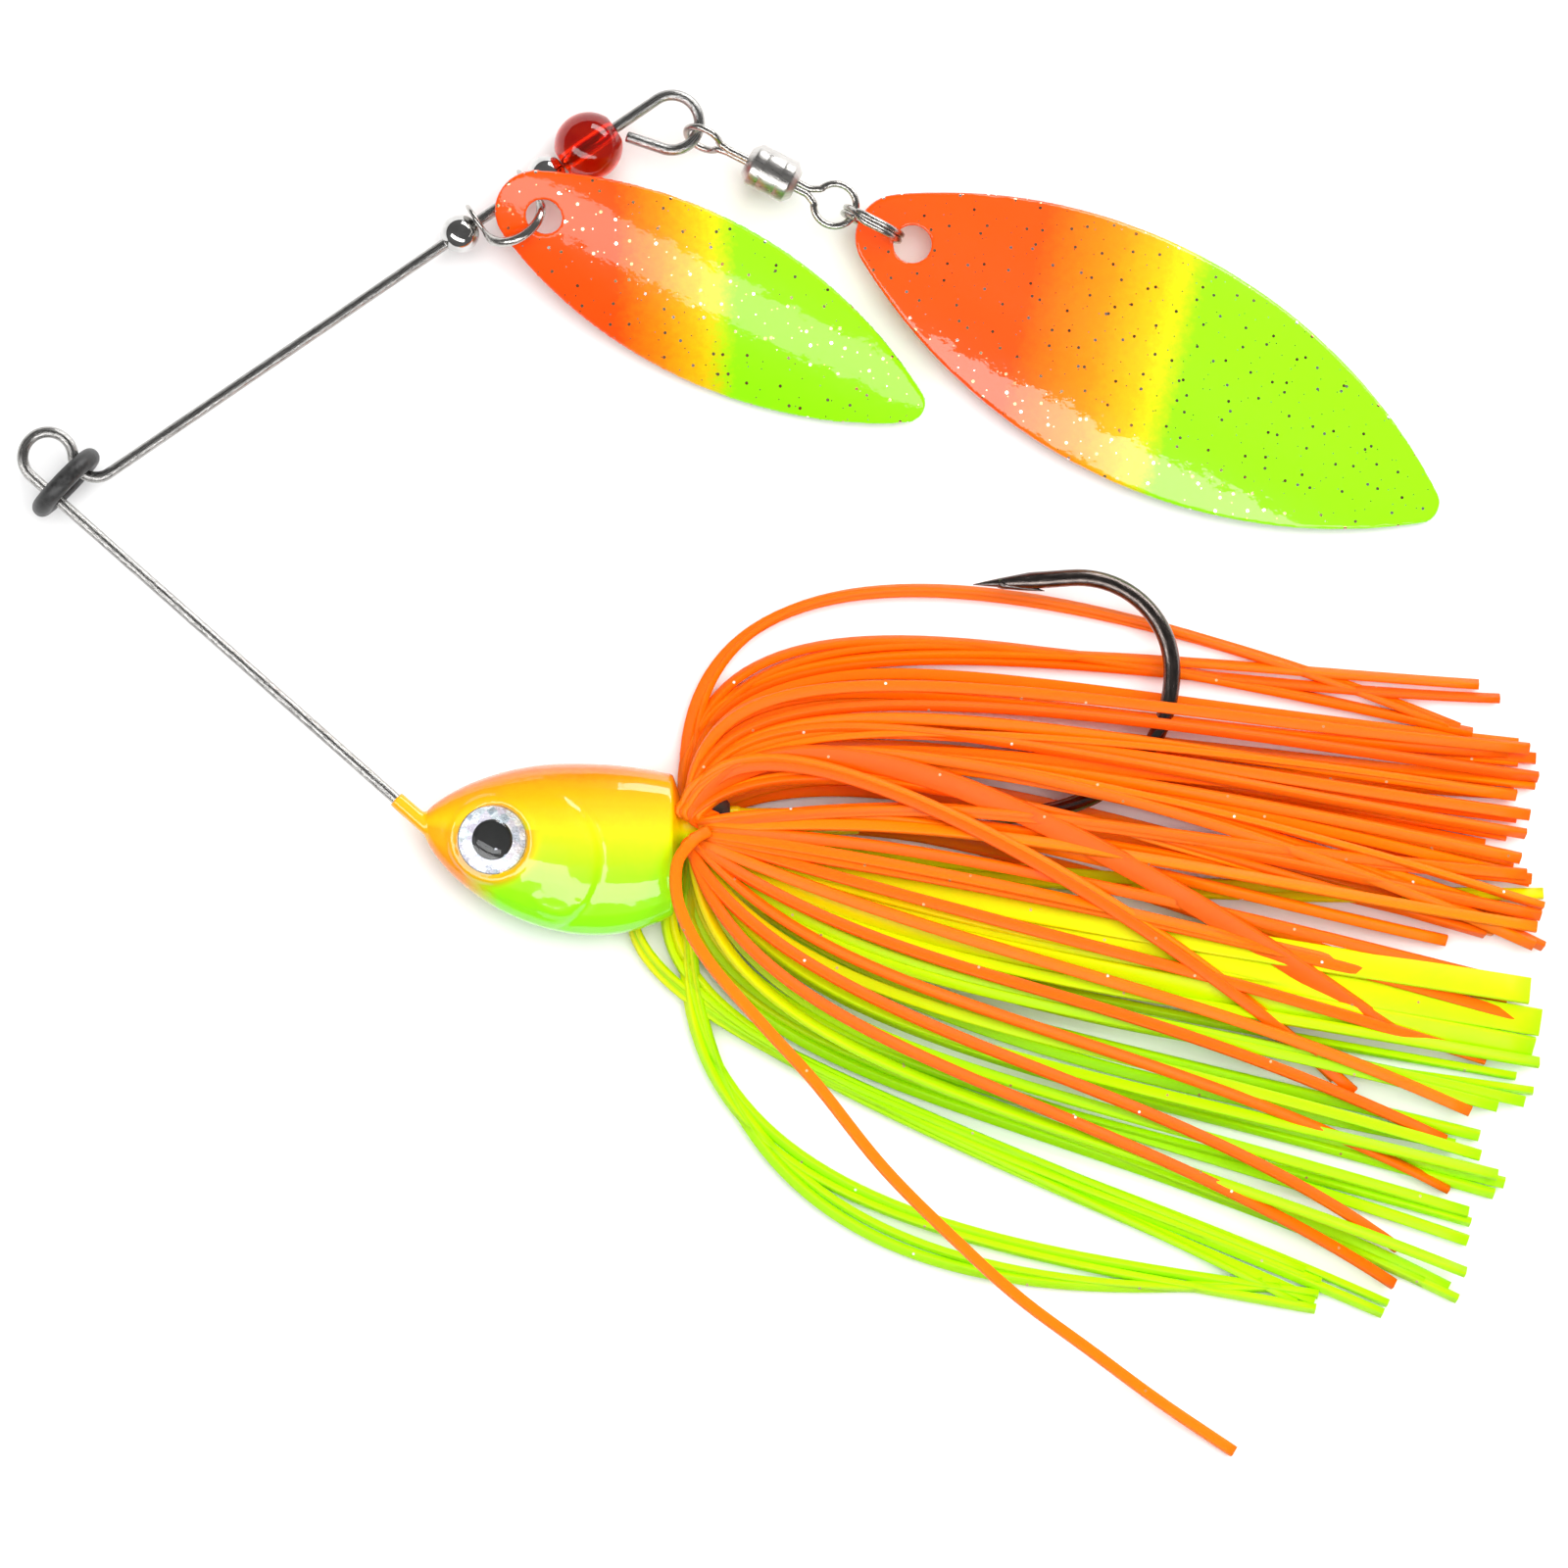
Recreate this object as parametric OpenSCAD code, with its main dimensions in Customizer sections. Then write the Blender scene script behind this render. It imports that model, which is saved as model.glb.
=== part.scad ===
// Tandem willow spinnerbait, lying on its side.
// Origin: centre of the line-tie loop. +X towards the skirt's tails, +Y towards the blades,
// +Z up from the surface that the lure lies on. The wire form and the hook lie in the plane Z = 0.

/* [Wire form] */
// Diameter of the stainless wire
wire_d = 1.0; // [0.8:0.1:1.2]
// Mean bend radius of the line-tie loop
tie_r = 2.2; // [1.9:0.1:2.6]
// Mean radius of the kick bend between the line tie and the arm
kick_r = 2.0; // [1.6:0.1:2.4]
// Place on the tie loop where the kick bend starts, in degrees
kick_start = 3.4; // [0:0.2:8]
// Angle of the upper arm above +X
arm_angle = 34.3; // [30:0.1:40]
// Length of the straight upper arm
arm_len = 57.8; // [48:0.1:70]
// Angle of the leg below +X
leg_angle = 41.5; // [36:0.1:46]
// Length of the leg from the line tie to the head's nose
leg_len = 45.4; // [38:0.1:55]
// Mean radius of the loop at the arm's end
tip_r = 2.4; // [2.3:0.05:2.6]
// Direction of the tip loop's cut tail, in degrees
tail_dir = 161.5; // [158:0.5:164]
// Length of the cut tail
tail_len = 3.2; // [2.6:0.1:3.4]
// Radius of the bend inside the head
head_bend_r = 3.0; // [2.5:0.1:4]

/* [Line-tie ring] */
// Thickness of the rubber ring
ring_section = 1.7; // [1.4:0.05:1.8]
// Mean radius of the rubber ring
ring_mean_r = 3.0; // [2.9:0.05:3.3]

/* [Head] */
// Length of the fish-shaped head
head_len = 23.2; // [19:0.1:28]
// Height of the head above its axis
head_top = 5.05; // [4.6:0.05:6.2]
// Depth of the head below its axis
head_bottom = 10.0; // [8.4:0.1:12]
// Half the thickness of the head
head_half_w = 4.2; // [3.9:0.1:5]
// Length of the keeper behind the head
keeper_len = 15.0; // [13:0.1:18]
// Diameter of the keeper under the skirt's band
keeper_d = 3.4; // [3:0.1:4]
// Diameter of the painted sleeve where the leg enters the nose
sleeve_d = 1.5; // [1.3:0.05:1.8]
// Diameter of the eye
eye_d = 6.1; // [5:0.1:6.4]
// Thickness of the eye's foil disc
foil_t = 0.15; // [0.1:0.05:0.3]
// Height of the eye's clear dome at its edge
dome_edge = 0.35; // [0.2:0.05:0.5]
// Rise of the clear dome from its edge to its middle
dome_rise = 0.7; // [0.4:0.05:0.8]

/* [Hook] */
// Diameter of the hook's wire
hook_d = 1.5; // [1.3:0.05:1.7]
// Diameter of the hole in the hook's eye
hook_eye_hole = 1.8; // [1.6:0.05:2.2]
// Length of the straight shank from the eye
shank_len = 37.4; // [32:0.1:42]
// Length of the ground point
point_len = 5.0; // [4:0.1:6]
// Length of the barb
barb_len = 1.9; // [1.4:0.1:2.4]

/* [Beads] */
// Diameter of the steel beads
steel_d = 3.35; // [3:0.05:4]
// Diameter of the glass bead
glass_d = 6.0; // [5:0.1:6.6]
// Length of the glass bead along its bore
glass_len = 5.5; // [4.6:0.1:6]
// Radial clearance of the beads and the clevis on the wire
bore_clearance = 0.08; // [0.05:0.01:0.1]
// Gap between neighbours on the arm
stack_gap = 0.1; // [0.05:0.05:0.2]

/* [Clevis] */
// Place of the clevis's middle along the arm
clevis_at = 41.65; // [34:0.05:44]
// Distance between the clevis's two discs, outside to outside
clevis_w = 5.8; // [5:0.1:7]
// Thickness of the discs
disc_t = 0.4; // [0.3:0.05:0.5]
// Diameter of the discs
disc_d = 3.6; // [3.2:0.1:4]
// Thickness of the clevis's bow
bow_d = 0.85; // [0.7:0.05:0.95]
// Reach of the bow from the arm's axis
bow_reach = 5.0; // [4.6:0.1:5.6]
// Turn of the clevis about the arm, up from the lure's plane
clevis_tilt = 46; // [40:1:52]

/* [Small blade] */
// Length of the small blade
small_len = 41.8; // [35:0.1:46]
// Width of the small blade
small_w = 15.2; // [13:0.1:17]
// Diameter of the small blade's hole
small_hole_d = 3.2; // [3:0.1:3.6]
// Distance from the small blade's heel to its hole's centre
small_heel = 4.4; // [4:0.1:5]
// Direction of the small blade below +X
small_dir = 27.4; // [24:0.1:30]
// Slope of the small blade down to its tip
small_slope = 7; // [5:0.5:8]
// Roll of the small blade, upper edge up
small_roll = 24; // [18:1:28]

/* [Large blade] */
// Length of the large blade
large_len = 56.8; // [50:0.1:64]
// Width of the large blade
large_w = 21.2; // [18:0.1:24]
// Diameter of the large blade's hole
large_hole_d = 3.3; // [3.2:0.1:3.8]
// Distance from the large blade's heel to its hole's centre
large_heel = 5.1; // [4.6:0.1:5.6]
// Slope of the large blade down to its tip
large_slope = 2.8; // [2:0.1:4]
// Thickness of both blades, paint included
blade_t = 0.6; // [0.5:0.05:0.8]

/* [Swivel and split ring] */
// Angle of the swivel and the large blade below +X
chain_angle = 26.8; // [22:0.1:30]
// Diameter of the eyes' wire
eye_wire_d = 0.65; // [0.55:0.05:0.7]
// Mean radius of the front eye
front_eye_r = 1.6; // [1.55:0.05:1.9]
// Mean radius of the rear eye
rear_eye_r = 1.85; // [1.7:0.05:2.1]
// Diameter of the barrel
barrel_d = 3.9; // [3.6:0.1:4.6]
// Length of the barrel
barrel_len = 4.8; // [4.4:0.1:5.6]
// Thickness of the barrel's end walls
barrel_wall = 0.7; // [0.6:0.05:0.9]
// Free length of the stem between an eye and the barrel
stem_gap = 2.7; // [2:0.1:3.4]
// Diameter of the stems
stem_d = 1.0; // [0.9:0.05:1.1]
// Mean radius of the split ring
split_r = 2.7; // [2.6:0.05:3.0]
// Diameter of the split ring's wire
split_wire_d = 0.6; // [0.5:0.05:0.65]

/* [Skirt] */
// Outer diameter of the skirt's band
band_d = 6.0; // [5:0.1:7]
// Width of the skirt's band
band_w = 2.6; // [2:0.1:3.4]
// Reach of the skirt behind the band
skirt_len = 73.5; // [60:0.5:84]
// Height of the skirt's upper half above the hook
skirt_up = 6.0; // [5:0.1:8]
// Width of the loose strand
strand_w = 1.0; // [0.8:0.05:1.3]
// Thickness of the loose strand
strand_t = 0.8; // [0.6:0.05:0.9]

/* [Hidden] */
$fn = 64;
eps = 0.01;

steel = [0.72, 0.70, 0.68];
orange = [1.0, 0.40, 0.0];
yellow = [1.0, 0.83, 0.0];
chartreuse = [0.68, 1.0, 0.0];

// Points of the wire form
function polar(r, a) = [r * cos(a), r * sin(a)];
leg_tangent = polar(tie_r, 270 - leg_angle);
nose = leg_tangent + polar(leg_len, -leg_angle);
kick_centre = polar(tie_r + kick_r, kick_start);
arm_start = kick_centre + polar(kick_r, arm_angle - 90);
arm_end = arm_start + polar(arm_len, arm_angle);
tip_centre = arm_end + polar(tip_r, arm_angle - 90);
tail_start_angle = tail_dir - 270;
tail_start = tip_centre + polar(tip_r, tail_start_angle);

// Inside the head: the wire bends level, runs back and turns up through the hook's eye
inner_drop = 3.2;
bend_start = nose + polar(inner_drop, -leg_angle);
bend_centre = bend_start + polar(head_bend_r, 90 - leg_angle);
bend_end = bend_centre + polar(head_bend_r, -90);
link_run = 7;
link_bend_r = 1.5;
link_rise = 1.6;
link_play = 0.1;

// Hook: shank, three bends and the point
hook_rise = 2.0;
hook_eye_d = hook_d * 0.8;
hook_eye_r = (hook_eye_hole + hook_eye_d) / 2;
hook_eye_pos = bend_end + [link_run + link_bend_r + (hook_eye_hole - wire_d) / 2 - link_play,
    link_bend_r + link_rise / 3];
shank_start = hook_eye_pos + polar(hook_eye_r, hook_rise);
shank_end = shank_start + polar(shank_len, hook_rise);
bend_1_r = 16;
bend_1_turn = 28;
bend_2_r = 12;
bend_2_turn = 60;
bend_3_r = 8.2;
bend_3_turn = 94;
throat_len = 3.6;
barb_angle = 14;

// Places along the arm
steel_bore_r = wire_d / 2 + bore_clearance;
steel_half = sqrt(pow(steel_d / 2, 2) - pow(steel_bore_r, 2));
lower_at = clevis_at - clevis_w / 2 - stack_gap - steel_half;
upper_at = clevis_at + clevis_w / 2 + stack_gap + steel_half;
glass_at = upper_at + steel_half + stack_gap + glass_len / 2;

// Bow of the clevis
bow_r = (clevis_w - disc_t) / 2;
bow_centre = bow_reach - bow_r;

// Chain of the swivel, measured from the tip loop's centre
eye_play = 0.1;
front_eye_at = tip_r - wire_d / 2 - eye_play - eye_wire_d / 2 + front_eye_r;
barrel_start = front_eye_at + front_eye_r + stem_gap;
barrel_end = barrel_start + barrel_len;
rear_stem_gap = stem_gap - 0.8;
rear_eye_at = barrel_end + rear_stem_gap + rear_eye_r;
split_play = 0.25;
split_at = rear_eye_at + rear_eye_r - eye_wire_d / 2 - split_play - split_wire_d / 2 + split_r;
hole_play = 0.15;
large_hole_at = split_at + split_r - split_wire_d / 2 - hole_play + large_hole_d / 2;
head_disc_t = 0.8;
head_disc_play = 0.06;
head_disc_d = 2.0;
cavity_d = 2.7;
barrel_chamfer = 0.6;
run_clearance = 0.05;

// Blades
heel_r = 3.8;
tip_round_r = 1.8;
blade_long_r = 170;
blade_deep = 8;
blade_cross_r = 24;

// Half length of a pointed oval from its middle to the outer end of a small round
function round_end(side_r, w, r) = sqrt((w / 2 - r) * (2 * side_r - r - w / 2)) + r;
function oval_len(side_r, w) = round_end(side_r, w, heel_r) + round_end(side_r, w, tip_round_r);
// Side radius that gives the oval its length, by halving the interval
function side_radius(len, w, low, high, steps) =
    let (mid = (low + high) / 2)
    steps == 0 ? mid
    : oval_len(mid, w) > len ? side_radius(len, w, low, mid, steps - 1)
    : side_radius(len, w, mid, high, steps - 1);

// Head outline: fractions of the top, bottom and side sizes at a share u of the length
function sharp_sine(u, full, p) = pow(sin(90 * min(1, u / full)), p);
function sag_after(u, start, amount) = 1 - amount * pow(max(0, u - start) / (1 - start), 2);
function head_close(u) = sqrt(max(0, 1 - pow(max(0, u - 0.94) / 0.0602, 2)));
function top_at(u) = head_top * sharp_sine(u, 0.55, 0.62) * sag_after(u, 0.6, 0.25) * head_close(u);
function bottom_at(u) = head_bottom * sharp_sine(u, 0.66, 0.58) * sag_after(u, 0.66, 0.24) * head_close(u);
function side_at(u) = head_half_w * sharp_sine(u, 0.6, 0.6) * sag_after(u, 0.6, 0.2) * head_close(u);
head_steps = 26;
head_sides = 32;
eye_pos = [6.3, -1.6];
eye_floor = 2.55;

// Skirt
root_x = nose[0] + head_len;
root_s = (root_x - shank_start[0]) / cos(hook_rise);
band_gap = 1.2;
band_pos = shank_start + polar(root_s + band_gap, hook_rise);
fan_gap = 0.4;
hook_slot = keeper_d / 2 + 0.15;
table_z = -head_half_w;

module at_arm(s, turn = 0)
    translate([arm_start[0], arm_start[1], 0])
        rotate([0, 0, arm_angle])
            translate([s, 0, 0])
                rotate([turn, 0, 0])
                    children();

module at_chain(d)
    translate([tip_centre[0], tip_centre[1], 0])
        rotate([0, 0, -chain_angle])
            translate([d, 0, 0])
                children();

// Round wire drawn from the origin along +X, one move after another. A move is [length, 0] for a
// straight run, or [bend radius, turn in degrees], where a positive turn is to the left.
// Each move starts a hair late, and a short collar a hair thicker than the wire closes the joint.
joint_gap = 0.03;
joint_swell = 0.05;
joint_len = 0.24;
module collar(d)
    rotate([0, 90, 0])
        cylinder(d = d + joint_swell, h = joint_len, center = true);

module wire_path(moves, d, i = 0) {
    if (i < len(moves)) {
        r = moves[i][0];
        turn = moves[i][1];
        if (i > 0)
            collar(d);
        if (turn == 0) {
            translate([joint_gap, 0, 0])
                rotate([0, 90, 0])
                    cylinder(d = d, h = r - joint_gap);
            translate([r, 0, 0])
                wire_path(moves, d, i + 1);
        } else {
            side = sign(turn);
            late = joint_gap / r * 180 / PI;
            translate([0, side * r, 0])
                rotate([0, 0, turn > 0 ? late - 90 : 90 + turn])
                    rotate_extrude(angle = abs(turn) - late)
                        translate([r, 0])
                            circle(d = d);
            after_bend(r, turn)
                wire_path(moves, d, i + 1);
        }
    }
}

module after_bend(r, turn)
    translate([r * sin(abs(turn)), sign(turn) * r * (1 - cos(turn)), 0])
        rotate([0, 0, turn])
            children();

module at_point(p, dir)
    translate([p[0], p[1], 0])
        rotate([0, 0, dir])
            children();

arm_moves = [[tie_r, kick_start + leg_angle - 270], [kick_r, arm_angle + 90 - kick_start], [arm_len, 0],
    [tip_r, tail_start_angle - arm_angle - 90], [tail_len, 0]];
leg_moves = [[leg_len + inner_drop, 0], [head_bend_r, leg_angle], [link_run, 0], [link_bend_r, 90],
    [link_rise, 0]];

module wire_solid() {
    at_point(leg_tangent, 180 - leg_angle) {
        wire_path(arm_moves, wire_d);
        collar(wire_d);
    }
    at_point(leg_tangent, -leg_angle)
        wire_path(leg_moves, wire_d);
}

module wire_form() {
    color(steel)
        wire_solid();
}

ring_angle = 46;
ring_pos = [1.58, -2.2];

module line_tie_ring() {
    color([0.08, 0.08, 0.09])
        translate([ring_pos[0], ring_pos[1], 0])
            rotate([90, 0, ring_angle])
                rotate_extrude()
                    translate([ring_mean_r, 0])
                        circle(d = ring_section);
}

shank_moves = [[shank_len, 0], [bend_1_r, bend_1_turn], [bend_2_r, bend_2_turn], [bend_3_r, bend_3_turn],
    [throat_len, 0]];

// Ground point along +X, with the barb cut up from the bend's inner side
module hook_point() {
    point_d = 0.1;
    barb_root_d = hook_d * 0.7;
    barb_root = [0.6, hook_d * 0.1, 0];
    collar(hook_d);
    translate([joint_gap, 0, 0])
        rotate([0, 90, 0])
            cylinder(d1 = hook_d, d2 = point_d, h = point_len);
    translate(barb_root)
        rotate([0, -90, -barb_angle])
            cylinder(d1 = barb_root_d, d2 = point_d, h = barb_len);
}

module hook_eye()
    at_point(hook_eye_pos, 0)
        rotate([90, 0, 0])
            rotate_extrude()
                translate([hook_eye_r, 0])
                    circle(d = hook_eye_d);

module hook_solid() {
    hook_eye();
    at_point(shank_start, hook_rise) {
        wire_path(shank_moves, hook_d);
        hook_end()
            hook_point();
    }
}

// Frame at the throat's end, found by walking the bends
module hook_end()
    translate([shank_len, 0, 0])
        after_bend(bend_1_r, bend_1_turn)
            after_bend(bend_2_r, bend_2_turn)
                after_bend(bend_3_r, bend_3_turn)
                    translate([throat_len, 0, 0])
                        children();

module hook() {
    color([0.16, 0.13, 0.12])
        hook_solid();
}

function head_point(i, j) =
    let (u = 0.004 + 0.996 * pow(i / head_steps, 1.4), a = 360 * j / head_sides)
    [head_len * u,
        sin(a) > 0 ? top_at(u) * sin(a) : bottom_at(u) * sin(a),
        side_at(u) * cos(a)];

module head_body() {
    points = [for (i = [0:head_steps]) for (j = [0:head_sides - 1]) head_point(i, j)];
    walls = [for (i = [0:head_steps - 1]) for (j = [0:head_sides - 1])
        let (k = (j + 1) % head_sides, a = i * head_sides, b = a + head_sides)
        [a + k, b + k, b + j, a + j]];
    nose_cap = [[for (j = [head_sides - 1:-1:0]) j]];
    rear_cap = [[for (j = [0:head_sides - 1]) head_steps * head_sides + j]];
    translate([nose[0], nose[1], 0])
        polyhedron(points, concat(walls, nose_cap, rear_cap));
}

// Frame on the hook's shank, s behind the shank's start
module at_shank(s)
    at_point(shank_start, hook_rise)
        translate([s, 0, 0])
            rotate([0, 90, 0])
                children();

module keeper() {
    nub_r = 1.2;
    nub_len = 2.0;
    nub_step = 0.1;
    seat_lead = 4.0;
    seat_tail = 0.8;
    at_shank(root_s - seat_lead)
        cylinder(d = keeper_d, h = seat_lead + band_gap + band_w + seat_tail);
    at_shank(root_s)
        cylinder(r1 = keeper_d / 2, r2 = nub_r - nub_step, h = keeper_len - nub_len / 2);
    at_shank(root_s + keeper_len - nub_len)
        cylinder(r = nub_r, h = nub_len);
}

// The part of the hook that the head is cast round
module hook_cast() {
    hook_eye();
    at_shank(0)
        cylinder(d = hook_d, h = shank_len);
}

// Eye's own axis stands on the side of the head, mirrored for the other side
module at_eye(side)
    translate([nose[0] + eye_pos[0], nose[1] + eye_pos[1], side * eye_floor])
        mirror([0, 0, side < 0 ? 1 : 0])
            children();

module head() {
    sleeve_out = 3.0;
    sleeve_in = 1.0;
    color(yellow)
        difference() {
            union() {
                head_body();
                keeper();
                at_point(nose - polar(sleeve_out, -leg_angle), -leg_angle)
                    wire_path([[sleeve_out + sleeve_in, 0]], sleeve_d);
            }
            wire_solid();
            hook_cast();
            for (side = [-1, 1])
                at_eye(side)
                    cylinder(d = eye_d, h = head_half_w);
        }
}

module eye_foil(side) {
    color([0.75, 0.78, 0.8])
        at_eye(side)
            cylinder(d = eye_d, h = foil_t);
}

module eye_dome(side) {
    dome_r = (pow(eye_d / 2, 2) + pow(dome_rise, 2)) / (2 * dome_rise);
    color([0.85, 0.9, 0.92, 0.5])
        at_eye(side)
            translate([0, 0, foil_t])
                intersection() {
                    cylinder(d = eye_d, h = dome_edge + dome_rise);
                    translate([0, 0, dome_edge + dome_rise - dome_r])
                        sphere(r = dome_r);
                }
}

module skirt_band() {
    color([0.15, 0.1, 0.08])
        at_shank(root_s + band_gap)
            difference() {
                cylinder(d = band_d, h = band_w);
                translate([0, 0, -eps])
                    cylinder(d = keeper_d, h = band_w + 2 * eps);
            }
}

// Fan of strands between two heights, with its outline's points measured back from the band
module fan(outline, low, high, shade)
    color(shade)
        translate([band_pos[0] + band_w + fan_gap, band_pos[1], low])
            linear_extrude(high - low)
                polygon([for (p = outline) [p[0] * skirt_len, p[1] * skirt_len]]);

// Outlines in shares of the skirt's length
orange_fan = [[0, 0.02], [-0.03, 0.10], [0.03, 0.22], [0.10, 0.28], [0.20, 0.30], [0.40, 0.29], [0.60, 0.24],
    [0.93, 0.16], [0.965, 0.05], [0.965, -0.12], [0.93, -0.23], [0.5, -0.14]];
chartreuse_fan = [[0, -0.04], [-0.03, -0.12], [-0.03, -0.22], [0.04, -0.37], [0.14, -0.46], [0.30, -0.53],
    [0.50, -0.57], [0.80, -0.57], [0.88, -0.54], [0.92, -0.40], [0.925, -0.24], [0.5, -0.155]];

module skirt_orange_upper() { fan(orange_fan, hook_slot, skirt_up, orange); }
module skirt_orange_lower() { fan(orange_fan, table_z, -hook_slot, orange); }
module skirt_chartreuse_upper() { fan(chartreuse_fan, hook_slot, skirt_up, chartreuse); }
module skirt_chartreuse_lower() { fan(chartreuse_fan, table_z, -hook_slot, chartreuse); }

// Route of the long loose strand, from the band over the skirt to the surface
loose_route = [[58.6, -36.4, 6.8], [62, -45, 7.2], [67, -54.5, 7.3], [73, -62, 7.3], [80, -69, 7.2],
    [85, -73.5, 7], [91, -78, 4], [97, -82.5, -1], [103.6, -87, -3.7]];

module strand(route, w, t) {
    last = len(route) - 1;
    dirs = [for (i = [0:last])
        let (v = route[min(i + 1, last)] - route[max(i - 1, 0)]) v / norm(v)];
    corners = [[-1, -1], [1, -1], [1, 1], [-1, 1]];
    points = [for (i = [0:last]) for (c = corners)
        let (side = cross([0, 0, 1], dirs[i]), up = cross(dirs[i], side))
        route[i] + side * c[0] * w / 2 + up * c[1] * t / 2];
    walls = [for (i = [0:last - 1]) for (j = [0:3])
        let (k = (j + 1) % 4) [4 * i + j, 4 * i + 4 + j, 4 * i + 4 + k, 4 * i + k]];
    polyhedron(points, concat([[0, 1, 2, 3]], walls, [[for (j = [3:-1:0]) 4 * last + j]]));
}

module loose_strand() {
    color(orange)
        strand(loose_route, strand_w, strand_t);
}

module steel_bead() {
    color(steel)
        rotate([0, 90, 0])
            difference() {
                sphere(d = steel_d);
                cylinder(r = steel_bore_r, h = steel_d, center = true);
            }
}

module lower_bead() { at_arm(lower_at) steel_bead(); }
module upper_bead() { at_arm(upper_at) steel_bead(); }

module glass_bead() {
    color([0.85, 0.08, 0.03, 0.8])
        at_arm(glass_at)
            rotate([0, 90, 0])
                difference() {
                    intersection() {
                        sphere(d = glass_d);
                        cylinder(d = glass_d, h = glass_len, center = true);
                    }
                    cylinder(r = steel_bore_r, h = glass_d, center = true);
                }
}

// Drawn with the bow in the plane Y = 0 below the arm, then turned up by clevis_tilt
module clevis() {
    limb_start = disc_d / 2 - 0.6;
    limb_d = bow_d * 0.45;
    color(steel)
        at_arm(clevis_at, 90 - clevis_tilt)
            difference() {
                union() {
                    for (side = [-1, 1])
                        translate([side * bow_r, 0, 0])
                            rotate([0, 90, 0])
                                cylinder(d = disc_d, h = disc_t, center = true);
                    for (side = [-1, 1])
                        translate([side * bow_r, 0, limb_start])
                            cylinder(d = limb_d, h = bow_centre - limb_start);
                    translate([0, 0, bow_centre])
                        rotate([90, 0, 0])
                            rotate_extrude(angle = 180)
                                translate([bow_r, 0])
                                    circle(d = bow_d);
                }
                rotate([0, 90, 0])
                    cylinder(r = steel_bore_r, h = clevis_w + 1, center = true);
            }
}

// Blade with its hole at the origin, its tip towards +X and its convex face towards +Z
module blade(len, w, heel, hole_d) {
    side_r = side_radius(len, w, w / 2 + 1, 4 * len, 40);
    offset_y = side_r - w / 2;
    middle = round_end(side_r, w, heel_r) - heel;
    lift = pow(middle, 2) / (2 * blade_long_r);
    translate([middle, 0, lift])
        difference() {
            intersection() {
                union() {
                    blade_side(side_r, offset_y, w);
                    blade_end(side_r, offset_y, w, heel_r, -1);
                    blade_end(side_r, offset_y, w, tip_round_r, 1);
                }
                difference() {
                    bowl(blade_cross_r);
                    bowl(blade_cross_r - blade_t);
                }
            }
            translate([-middle, 0, -blade_deep])
                cylinder(d = hole_d, h = 2 * blade_deep);
        }
}

// Pointed oval, cut off where the end rounds start
module blade_side(side_r, offset_y, w) {
    heel_cut = side_r * (round_end(side_r, w, heel_r) - heel_r) / (side_r - heel_r);
    tip_cut = side_r * (round_end(side_r, w, tip_round_r) - tip_round_r) / (side_r - tip_round_r);
    intersection() {
        translate([0, -offset_y, -blade_deep])
            cylinder(r = side_r, h = blade_deep + 1);
        translate([0, offset_y, -blade_deep])
            cylinder(r = side_r, h = blade_deep + 1);
        translate([-heel_cut, -w, -blade_deep])
            cube([heel_cut + tip_cut, 2 * w, blade_deep + 1]);
    }
}

module blade_end(side_r, offset_y, w, r, dir)
    translate([dir * (round_end(side_r, w, r) - r), 0, -blade_deep])
        cylinder(r = r, h = blade_deep + 1);

// Curved sheet: a torus about an axis along Y, far below the blade
module bowl(r)
    translate([0, 0, -blade_long_r])
        rotate([90, 0, 0])
            rotate_extrude()
                translate([blade_long_r - blade_cross_r, 0])
                    circle(r = r);

// Where the bow runs through the small blade's hole, in degrees round the bow
small_cross = 48;
small_pull = 0.35;

module small_blade() {
    color(chartreuse)
        at_arm(clevis_at)
            rotate([90 - clevis_tilt, 0, 0])
                translate([bow_r * sin(small_cross), 0, bow_centre + bow_r * cos(small_cross)])
                    rotate([clevis_tilt - 90, 0, 0])
                        rotate([0, 0, -arm_angle])
                            rotate([small_roll, small_slope, -small_dir])
                                translate([small_pull, 0, 0])
                                    blade(small_len, small_w, small_heel, small_hole_d);
}

module eye_loop(r, plane)
    rotate([plane, 0, 0])
        rotate_extrude()
            translate([r, 0])
                circle(d = eye_wire_d);

// Stem along +X from an eye into the barrel, with its head
module stem(len)
    rotate([0, 90, 0]) {
        cylinder(d = stem_d, h = len);
        translate([0, 0, len - head_disc_t])
            cylinder(d = head_disc_d, h = head_disc_t);
    }

stem_reach = barrel_wall + head_disc_play + head_disc_t;

module swivel_front_eye() {
    start = front_eye_r - eye_wire_d / 4;
    color(steel)
        at_chain(front_eye_at) {
            eye_loop(front_eye_r, 90);
            translate([start, 0, 0])
                stem(barrel_start + stem_reach - front_eye_at - start);
        }
}

module swivel_barrel() {
    color(steel)
        at_chain(barrel_start)
            rotate([0, 90, 0])
                difference() {
                    union() {
                        translate([0, 0, barrel_chamfer])
                            cylinder(d = barrel_d, h = barrel_len - 2 * barrel_chamfer);
                        cylinder(d1 = barrel_d - 2 * barrel_chamfer, d2 = barrel_d, h = barrel_chamfer);
                        translate([0, 0, barrel_len - barrel_chamfer])
                            cylinder(d1 = barrel_d, d2 = barrel_d - 2 * barrel_chamfer, h = barrel_chamfer);
                    }
                    translate([0, 0, -eps])
                        cylinder(d = stem_d + 2 * run_clearance, h = barrel_len + 2 * eps);
                    translate([0, 0, barrel_wall])
                        cylinder(d = cavity_d, h = barrel_len - 2 * barrel_wall);
                }
}

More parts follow.
